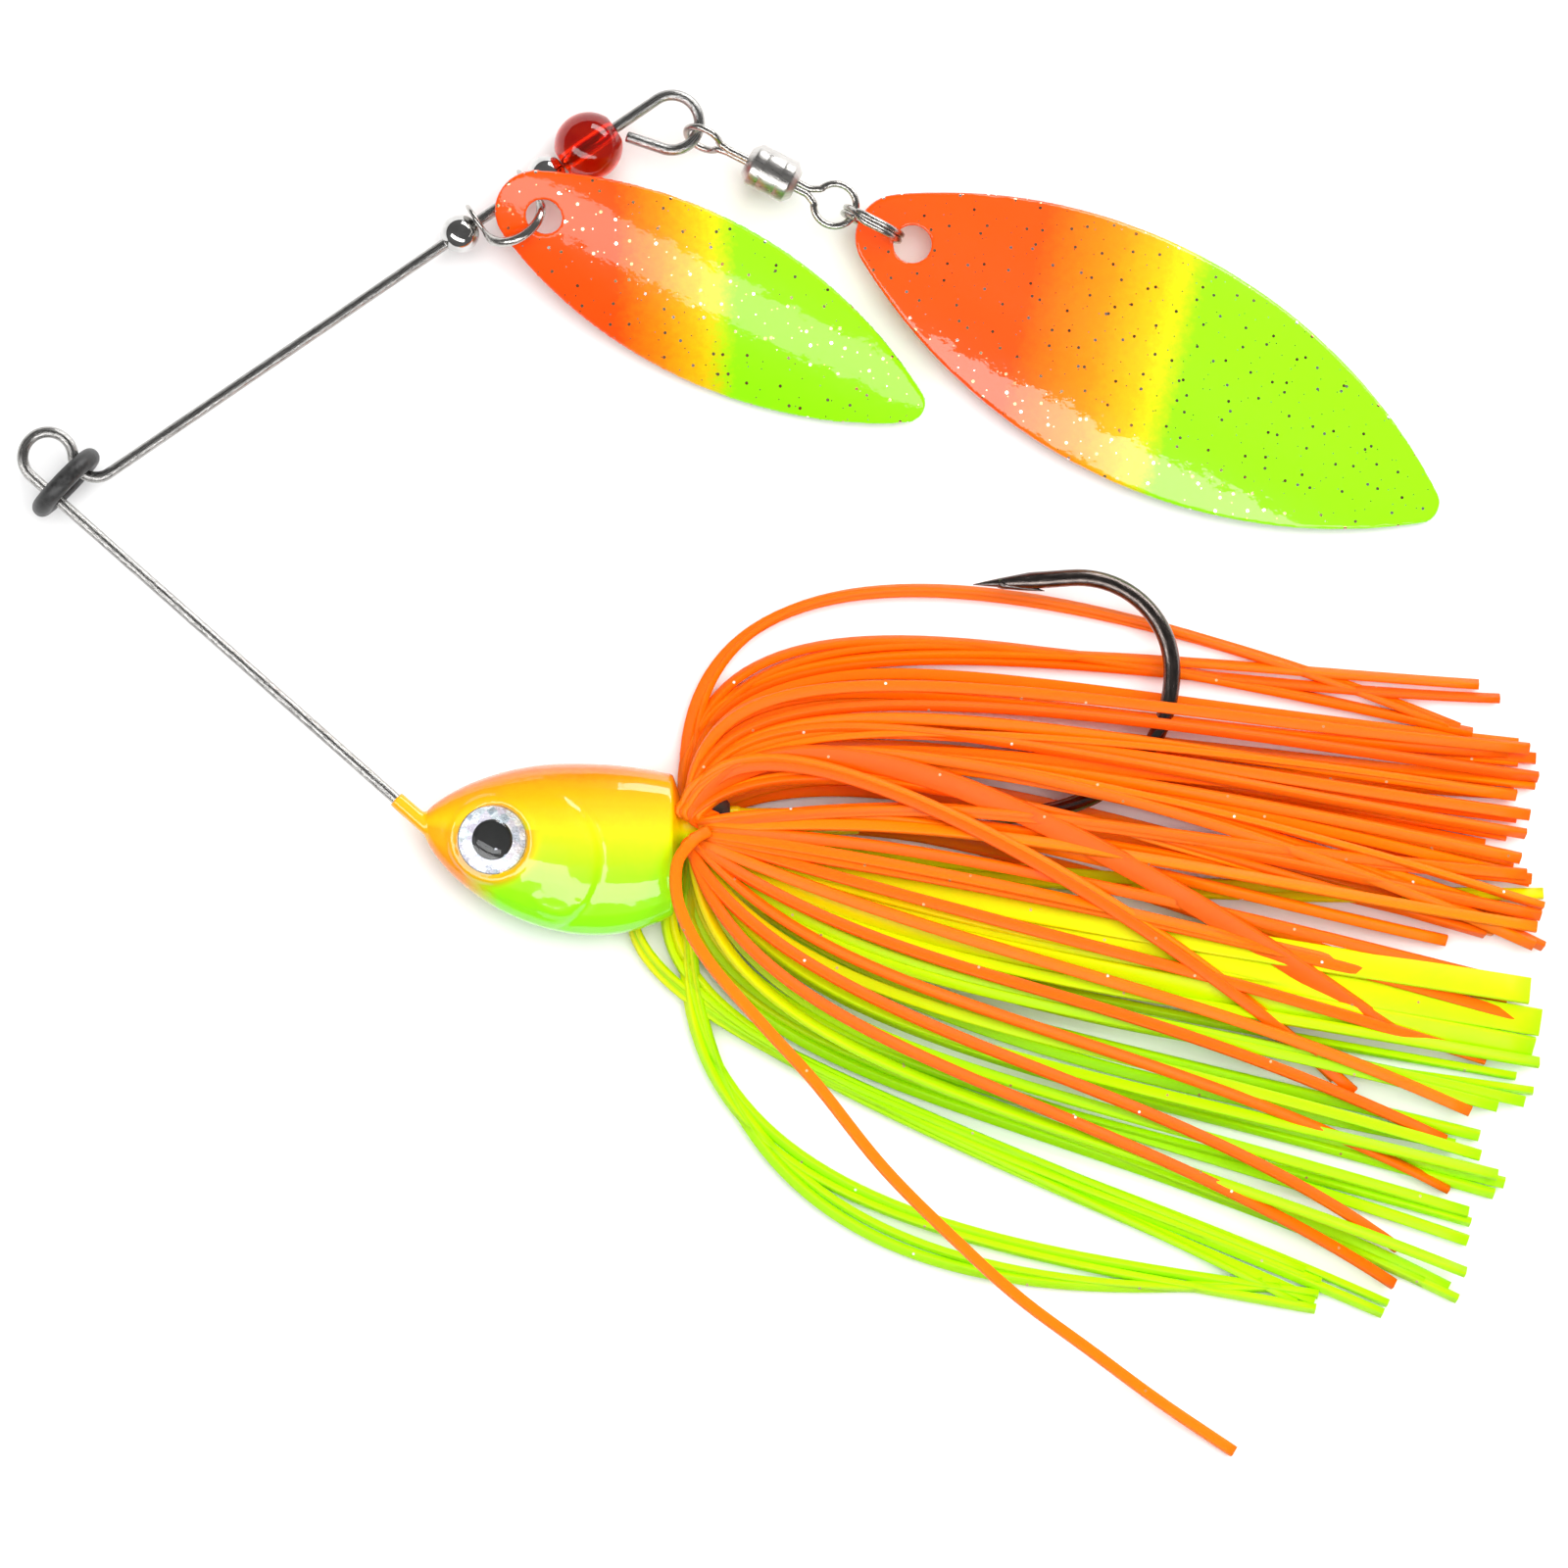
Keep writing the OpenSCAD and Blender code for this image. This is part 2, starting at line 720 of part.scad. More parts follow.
module swivel_rear_eye() {
    start = rear_eye_r - eye_wire_d / 4;
    color(steel)
        at_chain(rear_eye_at)
            rotate([0, 0, 180]) {
                eye_loop(rear_eye_r, 0);
                translate([start, 0, 0])
                    stem(rear_eye_at - barrel_end + stem_reach - start);
            }
}

module split_ring() {
    coil_offset = split_wire_d * 0.46;
    color(steel)
        at_chain(split_at)
            rotate([90, 0, 0])
                for (side = [-1, 1])
                    translate([0, 0, side * coil_offset])
                        rotate_extrude()
                            translate([split_r, 0])
                                circle(d = split_wire_d);
}

module large_blade() {
    color(chartreuse)
        at_chain(split_at)
            rotate([0, large_slope, 0])
                translate([large_hole_at - split_at, 0, blade_t / 2])
                    blade(large_len, large_w, large_heel, large_hole_d);
}

wire_form();
line_tie_ring();
head();
eye_foil(1);  // eye_foil_left
eye_foil(-1);  // eye_foil_right
eye_dome(1);  // eye_dome_left
eye_dome(-1);  // eye_dome_right
hook();
skirt_band();
skirt_orange_upper();
skirt_orange_lower();
skirt_chartreuse_upper();
skirt_chartreuse_lower();
loose_strand();
lower_bead();
clevis();
small_blade();
upper_bead();
glass_bead();
swivel_front_eye();
swivel_barrel();
swivel_rear_eye();
split_ring();
large_blade();
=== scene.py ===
"""Looks of a spinnerbait: wire form, painted head, silicone skirt, beads, swivel and two painted blades.
Lengths are in mm until a mesh is made, where MM turns them into metres."""
import math
import random

import bmesh
import bpy
import numpy as np
from mathutils import Matrix, Vector, noise


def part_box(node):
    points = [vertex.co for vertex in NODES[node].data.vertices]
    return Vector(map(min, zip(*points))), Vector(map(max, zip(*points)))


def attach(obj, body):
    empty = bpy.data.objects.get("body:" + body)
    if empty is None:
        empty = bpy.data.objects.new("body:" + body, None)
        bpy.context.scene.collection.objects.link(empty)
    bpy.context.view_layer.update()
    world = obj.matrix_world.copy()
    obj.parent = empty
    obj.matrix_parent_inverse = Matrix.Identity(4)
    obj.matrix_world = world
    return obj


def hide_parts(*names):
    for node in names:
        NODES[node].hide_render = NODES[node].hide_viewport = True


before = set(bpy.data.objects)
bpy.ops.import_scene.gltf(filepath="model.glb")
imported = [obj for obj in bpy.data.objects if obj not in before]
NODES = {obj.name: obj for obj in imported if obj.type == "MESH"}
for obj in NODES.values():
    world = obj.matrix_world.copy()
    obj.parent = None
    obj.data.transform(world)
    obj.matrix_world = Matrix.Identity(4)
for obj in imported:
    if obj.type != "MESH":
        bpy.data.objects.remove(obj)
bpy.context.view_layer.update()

MM = 0.001
UP = np.array([0.0, 0.0, 1.0])
rng = random.Random(7)

# ---- driving sizes, as in the design
WIRE_D = 1.0
TIE_R = 2.2
KICK_R = 2.0
KICK_START = 3.4
ARM_ANGLE = 34.3
ARM_LEN = 57.8
LEG_ANGLE = 41.5
LEG_LEN = 45.4
TIP_R = 2.4
TAIL_DIR = 161.5
TAIL_LEN = 3.2
CHAIN_ANGLE = 26.8
HEAD_LEN = 23.2
HOOK_RISE = 2.0
HOOK_D = 1.5
HOOK_EYE_BORE = 1.8
NOSE_RUN = 3.2
INNER_BEND_R = 3.0
INNER_RUN = 7.0
LINK_BEND_R = 1.5
LINK_RISE = 1.6
EYE_D = 6.1
BEAD_D = 3.35
BEAD_BORE_R = 0.58
GLASS_D = 6.0
GLASS_LEN = 5.5
CLEVIS_PLACE = 41.65
CLEVIS_BOW_R = 2.7
BARREL_START = 7.375
BARREL_LEN = 4.8
BARREL_WALL = 0.7
FRONT_EYE_PLACE = 3.075
REAR_EYE_PLACE = 15.925
SPLIT_PLACE = 19.6
SPLIT_R = 2.7


def polar(r, angle):
    """Point at distance r in a direction in degrees."""
    return np.array([r * math.cos(math.radians(angle)), r * math.sin(math.radians(angle))])


LEG_TANGENT = polar(TIE_R, 270 - LEG_ANGLE)
NOSE = LEG_TANGENT + polar(LEG_LEN, -LEG_ANGLE)
ARM_START = polar(TIE_R + KICK_R, KICK_START) + polar(KICK_R, ARM_ANGLE - 90)
TIP_CENTRE = ARM_START + polar(ARM_LEN, ARM_ANGLE) + polar(TIP_R, ARM_ANGLE - 90)


def middle_of(node):
    """Middle of a CAD node's box."""
    low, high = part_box(node)
    return np.array((low + high) / 2) / MM


# ---- mesh tools
def make_object(name, shape, material, body, stands_for=()):
    """A piece from a shape of points in mm, faces, and one uv pair for each face corner or None."""
    verts, faces, uvs = shape
    mesh = bpy.data.meshes.new(name)
    mesh.from_pydata([tuple(float(c) * MM for c in v) for v in verts], [], [tuple(f) for f in faces])
    if uvs is not None:
        layer = mesh.uv_layers.new(name="along")
        layer.data.foreach_set("uv", np.array(uvs, np.float32).ravel())
    mesh.polygons.foreach_set("use_smooth", [True] * len(mesh.polygons))
    mesh.materials.append(material)
    mesh.update()
    piece = bpy.data.objects.new(name, mesh)
    bpy.context.scene.collection.objects.link(piece)
    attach(piece, body)
    if stands_for:
        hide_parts(*stands_for)
    return piece


def unit(v):
    """The vector at length 1."""
    return v / max(1e-9, np.linalg.norm(v))


def frames_along(points, closed=False, up=(0, 0, 1)):
    """Tangent, side and up vectors along a line, turned as little as possible from one point to the next."""
    points = np.asarray(points, float)
    ahead = np.roll(points, -1, 0) - points
    behind = points - np.roll(points, 1, 0)
    if not closed:
        ahead[-1] = behind[-1]
        behind[0] = ahead[0]
    tangents = [unit(a / max(1e-9, np.linalg.norm(a)) + b / max(1e-9, np.linalg.norm(b)))
                for a, b in zip(ahead, behind)]
    side = unit(np.cross(up, tangents[0]))
    result = []
    for tangent in tangents:
        side = unit(side - tangent * np.dot(side, tangent))
        result.append((tangent, side, np.cross(tangent, side)))
    return result


def sweep_mesh(points, section, scales=None, rolls=None, closed=False, up=(0, 0, 1)):
    """Vertices, faces and uvs of a section carried along points. scales has one (side, up) pair a point."""
    points = np.asarray(points, float)
    count, sides = len(points), len(section)
    scales = scales if scales is not None else [(1, 1)] * count
    rolls = rolls if rolls is not None else [0] * count
    verts, faces, uvs = [], [], []
    travelled = np.concatenate([[0], np.cumsum(np.linalg.norm(np.diff(points, axis=0), axis=1))])
    for p, (_, side, over), (sx, sy), roll in zip(points, frames_along(points, closed, up), scales, rolls):
        c, s = math.cos(roll), math.sin(roll)
        for x, y in section:
            a, b = x * sx, y * sy
            verts.append(p + side * (a * c - b * s) + over * (a * s + b * c))
    rings = count if closed else count - 1
    for i in range(rings):
        n = (i + 1) % count
        here = travelled[i]
        there = travelled[i + 1] if i + 1 < count else travelled[i] + np.linalg.norm(points[0] - points[-1])
        for j in range(sides):
            k = (j + 1) % sides
            faces.append((i * sides + j, i * sides + k, n * sides + k, n * sides + j))
            uvs += [(here, j / sides), (here, (j + 1) / sides), (there, (j + 1) / sides), (there, j / sides)]
    if not closed:
        faces.append(tuple(range(sides - 1, -1, -1)))
        faces.append(tuple((count - 1) * sides + j for j in range(sides)))
        uvs += [(0, j / sides) for j in range(sides)] * 2
    return verts, faces, uvs


def joined(parts):
    """Several (verts, faces, uvs) as one."""
    verts, faces, uvs = [], [], []
    for v, f, u in parts:
        start = len(verts)
        verts += list(v)
        faces += [tuple(start + i for i in face) for face in f]
        uvs += list(u)
    return verts, faces, uvs


def ring_section(radius, sides=20):
    """Points of a circle."""
    return [polar(radius, 360 * j / sides) for j in range(sides)]


def round_bar(points, radius, sides=20, closed=False, taper=None, up=(0, 0, 1), round_ends=True):
    """Round wire along points, with softly rounded ends. taper gives the radius at a share of its length."""
    points = [np.asarray(p, float) for p in points]
    radii = [radius * (taper(i / (len(points) - 1)) if taper else 1) for i in range(len(points))]
    if not closed and round_ends:
        for end, beside in ((0, 1), (-1, -2)):
            out = unit(points[end] - points[beside])
            r = radii[end]
            extra = [(points[end] + out * r * 0.35 * math.sin(a), r * (0.65 + 0.35 * math.cos(a)))
                     for a in (0.5, 1.0, math.pi / 2)]
            extra.append((extra[-1][0] + out * 0.001, r * 0.05))
            if end == 0:
                points = [p for p, _ in reversed(extra)] + points
                radii = [q for _, q in reversed(extra)] + radii
            else:
                points += [p for p, _ in extra]
                radii += [q for _, q in extra]
    return sweep_mesh(points, ring_section(1, sides), [(r, r) for r in radii], None, closed, up)


def plane_route(start, direction, moves, step=5.0):
    """Points in the plane Z = 0 of a wire's route: a move is (length, 0) or (bend radius, turn in degrees)."""
    place = np.array(start, float)
    points = [place.copy()]
    heading = direction
    for size, turn in moves:
        if turn == 0:
            pieces = max(2, int(size / 1.5))
            for i in range(1, pieces + 1):
                points.append(place + polar(size * i / pieces, heading))
            place = points[-1].copy()
        else:
            side = math.copysign(90, turn)
            centre = place + polar(size, heading + side)
            pieces = max(4, int(abs(turn) / step))
            for i in range(1, pieces + 1):
                points.append(centre + polar(size, heading - side + turn * i / pieces))
            place = points[-1].copy()
            heading += turn
    return [np.array([p[0], p[1], 0.0]) for p in points]


def lathe_mesh(profile, centre, axis, sides=64, up=(0, 0, 1)):
    """A profile of (place along the axis, radius) pairs turned about the axis through centre."""
    axis = unit(np.array(axis, float))
    side = unit(np.cross(up, axis)) if abs(np.dot(up, axis)) < 0.99 else np.array([1.0, 0, 0])
    over = np.cross(axis, side)
    verts, faces, uvs = [], [], []
    for x, r in profile:
        for j in range(sides):
            a = 2 * math.pi * j / sides
            verts.append(np.array(centre) + axis * x + (side * math.cos(a) + over * math.sin(a)) * r)
    for i in range(len(profile) - 1):
        for j in range(sides):
            k = (j + 1) % sides
            faces.append((i * sides + j, i * sides + k, (i + 1) * sides + k, (i + 1) * sides + j))
            uvs += [(profile[i][0], j / sides), (profile[i][0], (j + 1) / sides),
                    (profile[i + 1][0], (j + 1) / sides), (profile[i + 1][0], j / sides)]
    return verts, faces, uvs


def softened(node, name, voxel, rounds, material, body, shape=None):
    """A finely remeshed copy of a CAD node with its edges softened, that stands for the node. shape moves its
    points, given in mm with their normals."""
    mesh = NODES[node].data.copy()
    piece = bpy.data.objects.new(name, mesh)
    bpy.context.scene.collection.objects.link(piece)
    bm = bmesh.new()
    bm.from_mesh(mesh)
    bmesh.ops.remove_doubles(bm, verts=bm.verts, dist=1e-6)
    bm.to_mesh(mesh)
    bm.free()
    remesh = piece.modifiers.new("fine", "REMESH")
    remesh.mode = "VOXEL"
    remesh.voxel_size = voxel * MM
    relax = piece.modifiers.new("relax", "SMOOTH")
    relax.factor = 0.5
    relax.iterations = rounds
    bpy.context.view_layer.update()
    fine = bpy.data.meshes.new_from_object(piece.evaluated_get(bpy.context.evaluated_depsgraph_get()))
    piece.modifiers.clear()
    piece.data = fine
    fine.name = name
    if shape:
        count = len(fine.vertices)
        places = np.empty(count * 3, np.float32)
        normals = np.empty(count * 3, np.float32)
        fine.vertices.foreach_get("co", places)
        fine.vertices.foreach_get("normal", normals)
        moved = shape(places.reshape(-1, 3) / MM, normals.reshape(-1, 3), fine)
        fine.vertices.foreach_set("co", (moved * MM).astype(np.float32).ravel())
        fine.update()
    fine.materials.clear()
    fine.materials.append(material)
    fine.polygons.foreach_set("use_smooth", [True] * len(fine.polygons))
    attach(piece, body)
    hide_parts(node)
    return piece


# ---- materials
def material(name):
    """A new material, its node tree and its shader."""
    made = bpy.data.materials.new(name)
    made.use_nodes = True
    tree = made.node_tree
    return made, tree, tree.nodes["Principled BSDF"]


def feed(made, values):
    """Links sockets to a node's inputs or sets their values, by name or number."""
    for key, value in values.items():
        if isinstance(value, bpy.types.NodeSocket):
            made.id_data.links.new(value, made.inputs[key])
        else:
            made.inputs[key].default_value = value


def node(tree, kind, values=None, **settings):
    """A new node with its settings, and values for its inputs by name or number."""
    made = tree.nodes.new("ShaderNode" + kind)
    for key, value in settings.items():
        setattr(made, key, value)
    feed(made, values or {})
    return made


def places(tree, scale=(1, 1, 1), source="Object", shift=(0, 0, 0)):
    """Texture coordinates in the object's frame, or along a wire with source UV, scaled."""
    coords = node(tree, "TexCoord")
    values = {"Vector": coords.outputs[source], "Scale": scale, "Location": shift}
    mapping = node(tree, "Mapping", values)
    return mapping.outputs["Vector"]


def ramp(tree, factor, stops, mode="LINEAR"):
    """Colour ramp from (place, colour) stops."""
    made = node(tree, "ValToRGB", {"Fac": factor})
    made.color_ramp.interpolation = mode
    elements = made.color_ramp.elements
    while len(elements) < len(stops):
        elements.new(0.5)
    for element, (place, colour) in zip(elements, stops):
        element.position = place
        element.color = (*colour, 1) if len(colour) == 3 else colour
    return made.outputs["Color"]


def noise_of(tree, vector, scale, detail=3.0, rough=0.5):
    """Noise from 0 to 1."""
    return node(tree, "TexNoise", {"Vector": vector, "Scale": scale, "Detail": detail,
                                             "Roughness": rough}).outputs["Fac"]


def math_of(tree, operation, a, b=0.0, clamp=False):
    """One sum of two sockets or numbers."""
    made = node(tree, "Math", {0: a, 1: b}, operation=operation, use_clamp=clamp)
    return made.outputs[0]


def blend_of(tree, factor, a, b, mode="MIX"):
    """Colour b over colour a, by factor."""
    made = node(tree, "Mix", data_type="RGBA", blend_type=mode)
    for key, value in ((0, factor), (6, a), (7, b)):
        if isinstance(value, bpy.types.NodeSocket):
            tree.links.new(value, made.inputs[key])
        else:
            is_colour = hasattr(value, "__len__") and len(value) == 3
            made.inputs[key].default_value = (*value, 1) if is_colour else value
    return made.outputs[2]


def bump_of(tree, shader, height, distance, strength, socket="Normal"):
    """Bump from a height, on the shader's own or its coat's normal."""
    bump = node(tree, "Bump", {"Height": height, "Distance": distance, "Strength": strength})
    tree.links.new(bump.outputs["Normal"], shader.inputs[socket])


def grey(value):
    """The same value three times."""
    return (value, value, value)


def drawn_steel(name, low=0.26, high=0.56, rough=(0.16, 0.34), tint=(1.0, 0.98, 0.95), streak=(0.12, 9.0)):
    """Drawn or turned steel: streaks that run along the wire, with fine scratches."""
    made, tree, shader = material(name)
    along = places(tree, (streak[0], streak[1], 1), "UV")
    streaks = noise_of(tree, along, 3.0, 4.0, 0.6)
    tones = [(0.3, [low * c for c in tint]), (0.7, [high * c for c in tint])]
    shine = [(0.3, grey(rough[0])), (0.75, grey(rough[1]))]
    feed(shader, {"Metallic": 1.0, "Base Color": ramp(tree, streaks, tones),
                  "Roughness": ramp(tree, noise_of(tree, along, 6.0), shine)})
    bump_of(tree, shader, noise_of(tree, along, 11.0, 2.0), 0.03 * MM, 0.6)
    return made


def bead_steel():
    """Polished ball with faint cloudy wear."""
    made, tree, shader = material("bead_steel")
    spots = noise_of(tree, places(tree), 900.0)
    feed(shader, {"Metallic": 1.0,
                  "Base Color": ramp(tree, spots, [(0.35, (0.46, 0.455, 0.445)), (0.65, (0.6, 0.595, 0.585))]),
                  "Roughness": ramp(tree, spots, [(0.4, grey(0.05)), (0.75, grey(0.12))])})
    return made


def black_nickel():
    """Dark plated hook wire under a thin gloss."""
    made, tree, shader = material("hook_steel")
    along = places(tree, (0.25, 6.0, 1), "UV")
    streaks = noise_of(tree, along, 3.0, 4.0)
    feed(shader, {"Metallic": 1.0,
                  "Base Color": ramp(tree, streaks, [(0.3, (0.075, 0.06, 0.055)), (0.7, (0.2, 0.165, 0.15))]),
                  "Roughness": ramp(tree, streaks, [(0.3, grey(0.16)), (0.8, grey(0.3))]),
                  "Coat Weight": 0.35, "Coat Roughness": 0.12})
    bump_of(tree, shader, noise_of(tree, along, 14.0, 2.0), 0.03 * MM, 0.5)
    return made


def ring_rubber():
    """Soft black rubber."""
    made, tree, shader = material("ring_rubber")
    grain = noise_of(tree, places(tree), 2600.0)
    feed(shader, {"Base Color": ramp(tree, grain, [(0.35, grey(0.012)), (0.7, grey(0.032))]),
                  "Roughness": ramp(tree, grain, [(0.3, grey(0.38)), (0.8, grey(0.55))])})
    bump_of(tree, shader, grain, 0.05 * MM, 0.5)
    return made


ORANGE = (0.95, 0.08, 0.0)
AMBER = (1.0, 0.27, 0.0)
YELLOW = (0.98, 0.5, 0.0)
CHARTREUSE = (0.28, 0.9, 0.0)


def glitter(tree, colour, cell, size, seed):
    """Small flakes over a colour, one for each cell (mm). Gives the colour and where the flakes are."""
    vector = places(tree, (1 / MM, 1 / MM, 1 / MM), shift=(seed, seed, 0))
    dots = node(tree, "TexVoronoi", {"Vector": vector, "Scale": 1 / cell, "Randomness": 1.0},
                voronoi_dimensions="2D", feature="F1")
    inside = math_of(tree, "LESS_THAN", dots.outputs["Distance"], size / cell)
    shades = ramp(tree, dots.outputs["Color"], [(0.0, (0.5, 0.25, 0.1)), (0.35, (0.6, 0.45, 0.25)),
                                                (0.7, (0.9, 0.85, 0.75))], "CONSTANT")
    return blend_of(tree, inside, colour, shades), inside


def blade_paint(name, ends, slant, middle_y, seed, coat):
    """Airbrushed bands of four colours under a lumpy clear coat with glitter. ends holds where each colour is
    full, in mm along X at middle_y, and slant leans the bands."""
    made, tree, shader = material(name)
    coords = node(tree, "TexCoord")
    split = node(tree, "SeparateXYZ", {0: coords.outputs["Object"]})
    above = math_of(tree, "SUBTRACT", split.outputs["Y"], middle_y * MM)
    leaned = math_of(tree, "SUBTRACT", split.outputs["X"], math_of(tree, "MULTIPLY", above, slant))
    spray = math_of(tree, "SUBTRACT", noise_of(tree, places(tree), 1500.0, 5.0, 0.75), 0.5)
    leaned = math_of(tree, "ADD", leaned, math_of(tree, "MULTIPLY", spray, 3.2 * MM))
    span = (ends[3] - ends[0]) * MM
    share = math_of(tree, "DIVIDE", math_of(tree, "SUBTRACT", leaned, ends[0] * MM), span, True)
    cuts = [(e - ends[0]) / (ends[3] - ends[0]) for e in ends]
    colour = ramp(tree, share, list(zip(cuts, (ORANGE, AMBER, YELLOW, CHARTREUSE))))
    mottle = noise_of(tree, places(tree), 160.0, 3.0)
    colour = blend_of(tree, math_of(tree, "MULTIPLY", mottle, 0.16), colour, (1.0, 0.32, 0.0), "MULTIPLY")
    colour, flakes = glitter(tree, colour, 2.1, 0.14, seed)
    colour, small = glitter(tree, colour, 1.5, 0.06, seed + 31.0)
    flakes = math_of(tree, "MAXIMUM", flakes, small)
    feed(shader, {"Base Color": colour,
                  "Roughness": ramp(tree, flakes, [(0.0, grey(0.34)), (1.0, grey(0.2))]),
                  "Metallic": math_of(tree, "MULTIPLY", flakes, 0.97), "Coat Weight": coat,
                  "Coat Roughness": 0.05, "Coat IOR": 1.5})
    lumps = noise_of(tree, places(tree), 620.0, 3.0, 0.55)
    bump_of(tree, shader, lumps, 0.07 * MM, 0.6, "Coat Normal")
    bump_of(tree, shader, lumps, 0.04 * MM, 0.4)
    feed(shader, {"Specular IOR Level": 0.1})
    return made


def head_paint():
    """Orange back, yellow flank and chartreuse belly by the height share stored on the mesh, with an orange
    snout and eye rim where the muzzle value is high."""
    made, tree, shader = material("head_paint")
    share = node(tree, "Attribute", attribute_name="height_share").outputs["Fac"]
    muzzle = node(tree, "Attribute", attribute_name="muzzle").outputs["Fac"]
    mist = math_of(tree, "SUBTRACT", noise_of(tree, places(tree), 1300.0, 5.0, 0.7), 0.5)
    leaned = math_of(tree, "ADD", share, math_of(tree, "MULTIPLY", mist, 0.07))
    body = [(0.0, (0.26, 0.88, 0.0)), (0.34, (0.36, 0.86, 0.0)), (0.56, (0.62, 0.74, 0.0)),
            (0.72, (0.98, 0.5, 0.0)), (0.88, (1.0, 0.34, 0.0)), (0.96, (1.0, 0.2, 0.0)),
            (1.0, (0.97, 0.14, 0.0))]
    colour = ramp(tree, leaned, body)
    snout = ramp(tree, leaned, [(0.06, (1.0, 0.15, 0.0)), (0.3, (1.0, 0.33, 0.0))])
    colour = blend_of(tree, muzzle, colour, snout)
    feed(shader, {"Base Color": colour, "Roughness": 0.3, "Coat Weight": 1.0, "Coat Roughness": 0.05})
    lumps = noise_of(tree, places(tree), 420.0, 2.0)
    bump_of(tree, shader, lumps, 0.12 * MM, 0.5, "Coat Normal")
    bump_of(tree, shader, lumps, 0.06 * MM, 0.4)
    feed(shader, {"Specular IOR Level": 0.15})
    return made


def silicone(name, far, near, edge_y, soft, deep):
    """Skirt strand: colour turns from near to far within soft mm of edge_y going down the fan, each strand is
    blended by its own share with deep, and streaks run along it."""
    made, tree, shader = material(name)
    coords = node(tree, "TexCoord")
    split = node(tree, "SeparateXYZ", {0: coords.outputs["Object"]})
    share = math_of(tree, "DIVIDE", math_of(tree, "SUBTRACT", split.outputs["Y"], (edge_y - soft) * MM),
                    2 * soft * MM, True)
    colour = ramp(tree, share, [(0.0, far), (1.0, near)])
    along = places(tree, (0.08, 2.5, 1), "UV")
    shade = noise_of(tree, along, 2.0, 3.0)
    streaks = ramp(tree, shade, [(0.35, grey(0.0)), (0.75, grey(0.32))])
    colour = blend_of(tree, streaks, colour, [c * 0.82 for c in far])
    each = node(tree, "NewGeometry").outputs["Random Per Island"]
    depth = ramp(tree, each, [(0.0, grey(0.0)), (0.35, grey(0.1)), (1.0, grey(0.75))])
    colour = blend_of(tree, depth, colour, deep)
    colour, _ = glitter(tree, colour, 6.5, 0.12, 11.0)
    feed(shader, {"Base Color": colour,
                  "Roughness": ramp(tree, shade, [(0.2, grey(0.42)), (0.8, grey(0.56))]),
                  "Subsurface Weight": 0.35, "Subsurface Radius": (1.0, 0.6, 0.2),
                  "Subsurface Scale": 0.6 * MM, "Specular IOR Level": 0.25})
    bump_of(tree, shader, noise_of(tree, along, 9.0, 2.0), 0.04 * MM, 0.5)
    return made


def eye_foil_material():
    """Crinkled holographic foil: silver with a faint tint in each cell, and each cell also painted lighter or
    darker as a painted reflection of its crinkled facet.
    """
    made, tree, shader = material("eye_foil")
    cells = node(tree, "TexVoronoi", {"Vector": places(tree), "Scale": 1700.0}, feature="F1")
    # cells run from dark blue grey to near white: the foil's own faint tints, with a painted reflection of
    # each facet in how light or dark the cell is
    tints_and_painted_facet_glints = [(0.0, (0.5, 0.56, 0.62)), (0.3, (0.82, 0.86, 0.88)), (0.5, (0.36, 0.44, 0.5)),
             (0.7, (0.66, 0.62, 0.72)), (1.0, (0.95, 0.95, 0.92))]
    colour = ramp(tree, cells.outputs["Color"], tints_and_painted_facet_glints)
    feed(shader, {"Base Color": colour, "Metallic": 0.45,
                  "Roughness": ramp(tree, cells.outputs["Distance"], [(0.0, grey(0.18)), (0.6, grey(0.34))])})
    creases = noise_of(tree, places(tree), 1100.0, 4.0, 0.7)
    bump_of(tree, shader, creases, 0.5 * MM, 0.8)
    return made


def pupil_ink():
    """Black printed pupil."""
    made, tree, shader = material("eye_pupil")
    grain = noise_of(tree, places(tree), 3000.0)
    feed(shader, {"Base Color": ramp(tree, grain, [(0.3, grey(0.004)), (0.8, grey(0.012))]),
                  "Roughness": ramp(tree, grain, [(0.3, grey(0.3)), (0.8, grey(0.42))])})
    return made


def clear_resin():
    """Clear domed epoxy with a trace of haze."""
    made, tree, shader = material("eye_dome")
    haze = noise_of(tree, places(tree), 700.0)
    feed(shader, {"Base Color": ramp(tree, haze, [(0.3, (0.97, 0.99, 1.0)), (0.8, grey(1.0))]),
                  "Roughness": ramp(tree, haze, [(0.3, grey(0.02)), (0.8, grey(0.05))]),
                  "Transmission Weight": 1.0, "IOR": 1.45})
    return made


def red_glass():
    """Clear red glass with a slight swirl."""
    made, tree, shader = material("red_glass")
    swirl = noise_of(tree, places(tree), 520.0)
    feed(shader, {"Base Color": ramp(tree, swirl, [(0.3, (0.7, 0.004, 0.001)), (0.7, (0.95, 0.04, 0.003))]),
                  "Roughness": 0.03, "Transmission Weight": 0.92, "IOR": 1.5})
    bump_of(tree, shader, swirl, 0.1 * MM, 0.35)
    return made


def floor_white():
    """Plain pale paper."""
    made, tree, shader = material("floor_white")
    tone = noise_of(tree, places(tree), 14.0)
    feed(shader, {"Base Color": ramp(tree, tone, [(0.0, grey(0.93)), (1.0, grey(0.95))]), "Roughness": 0.9,
                  "Specular IOR Level": 0.1})
    return made


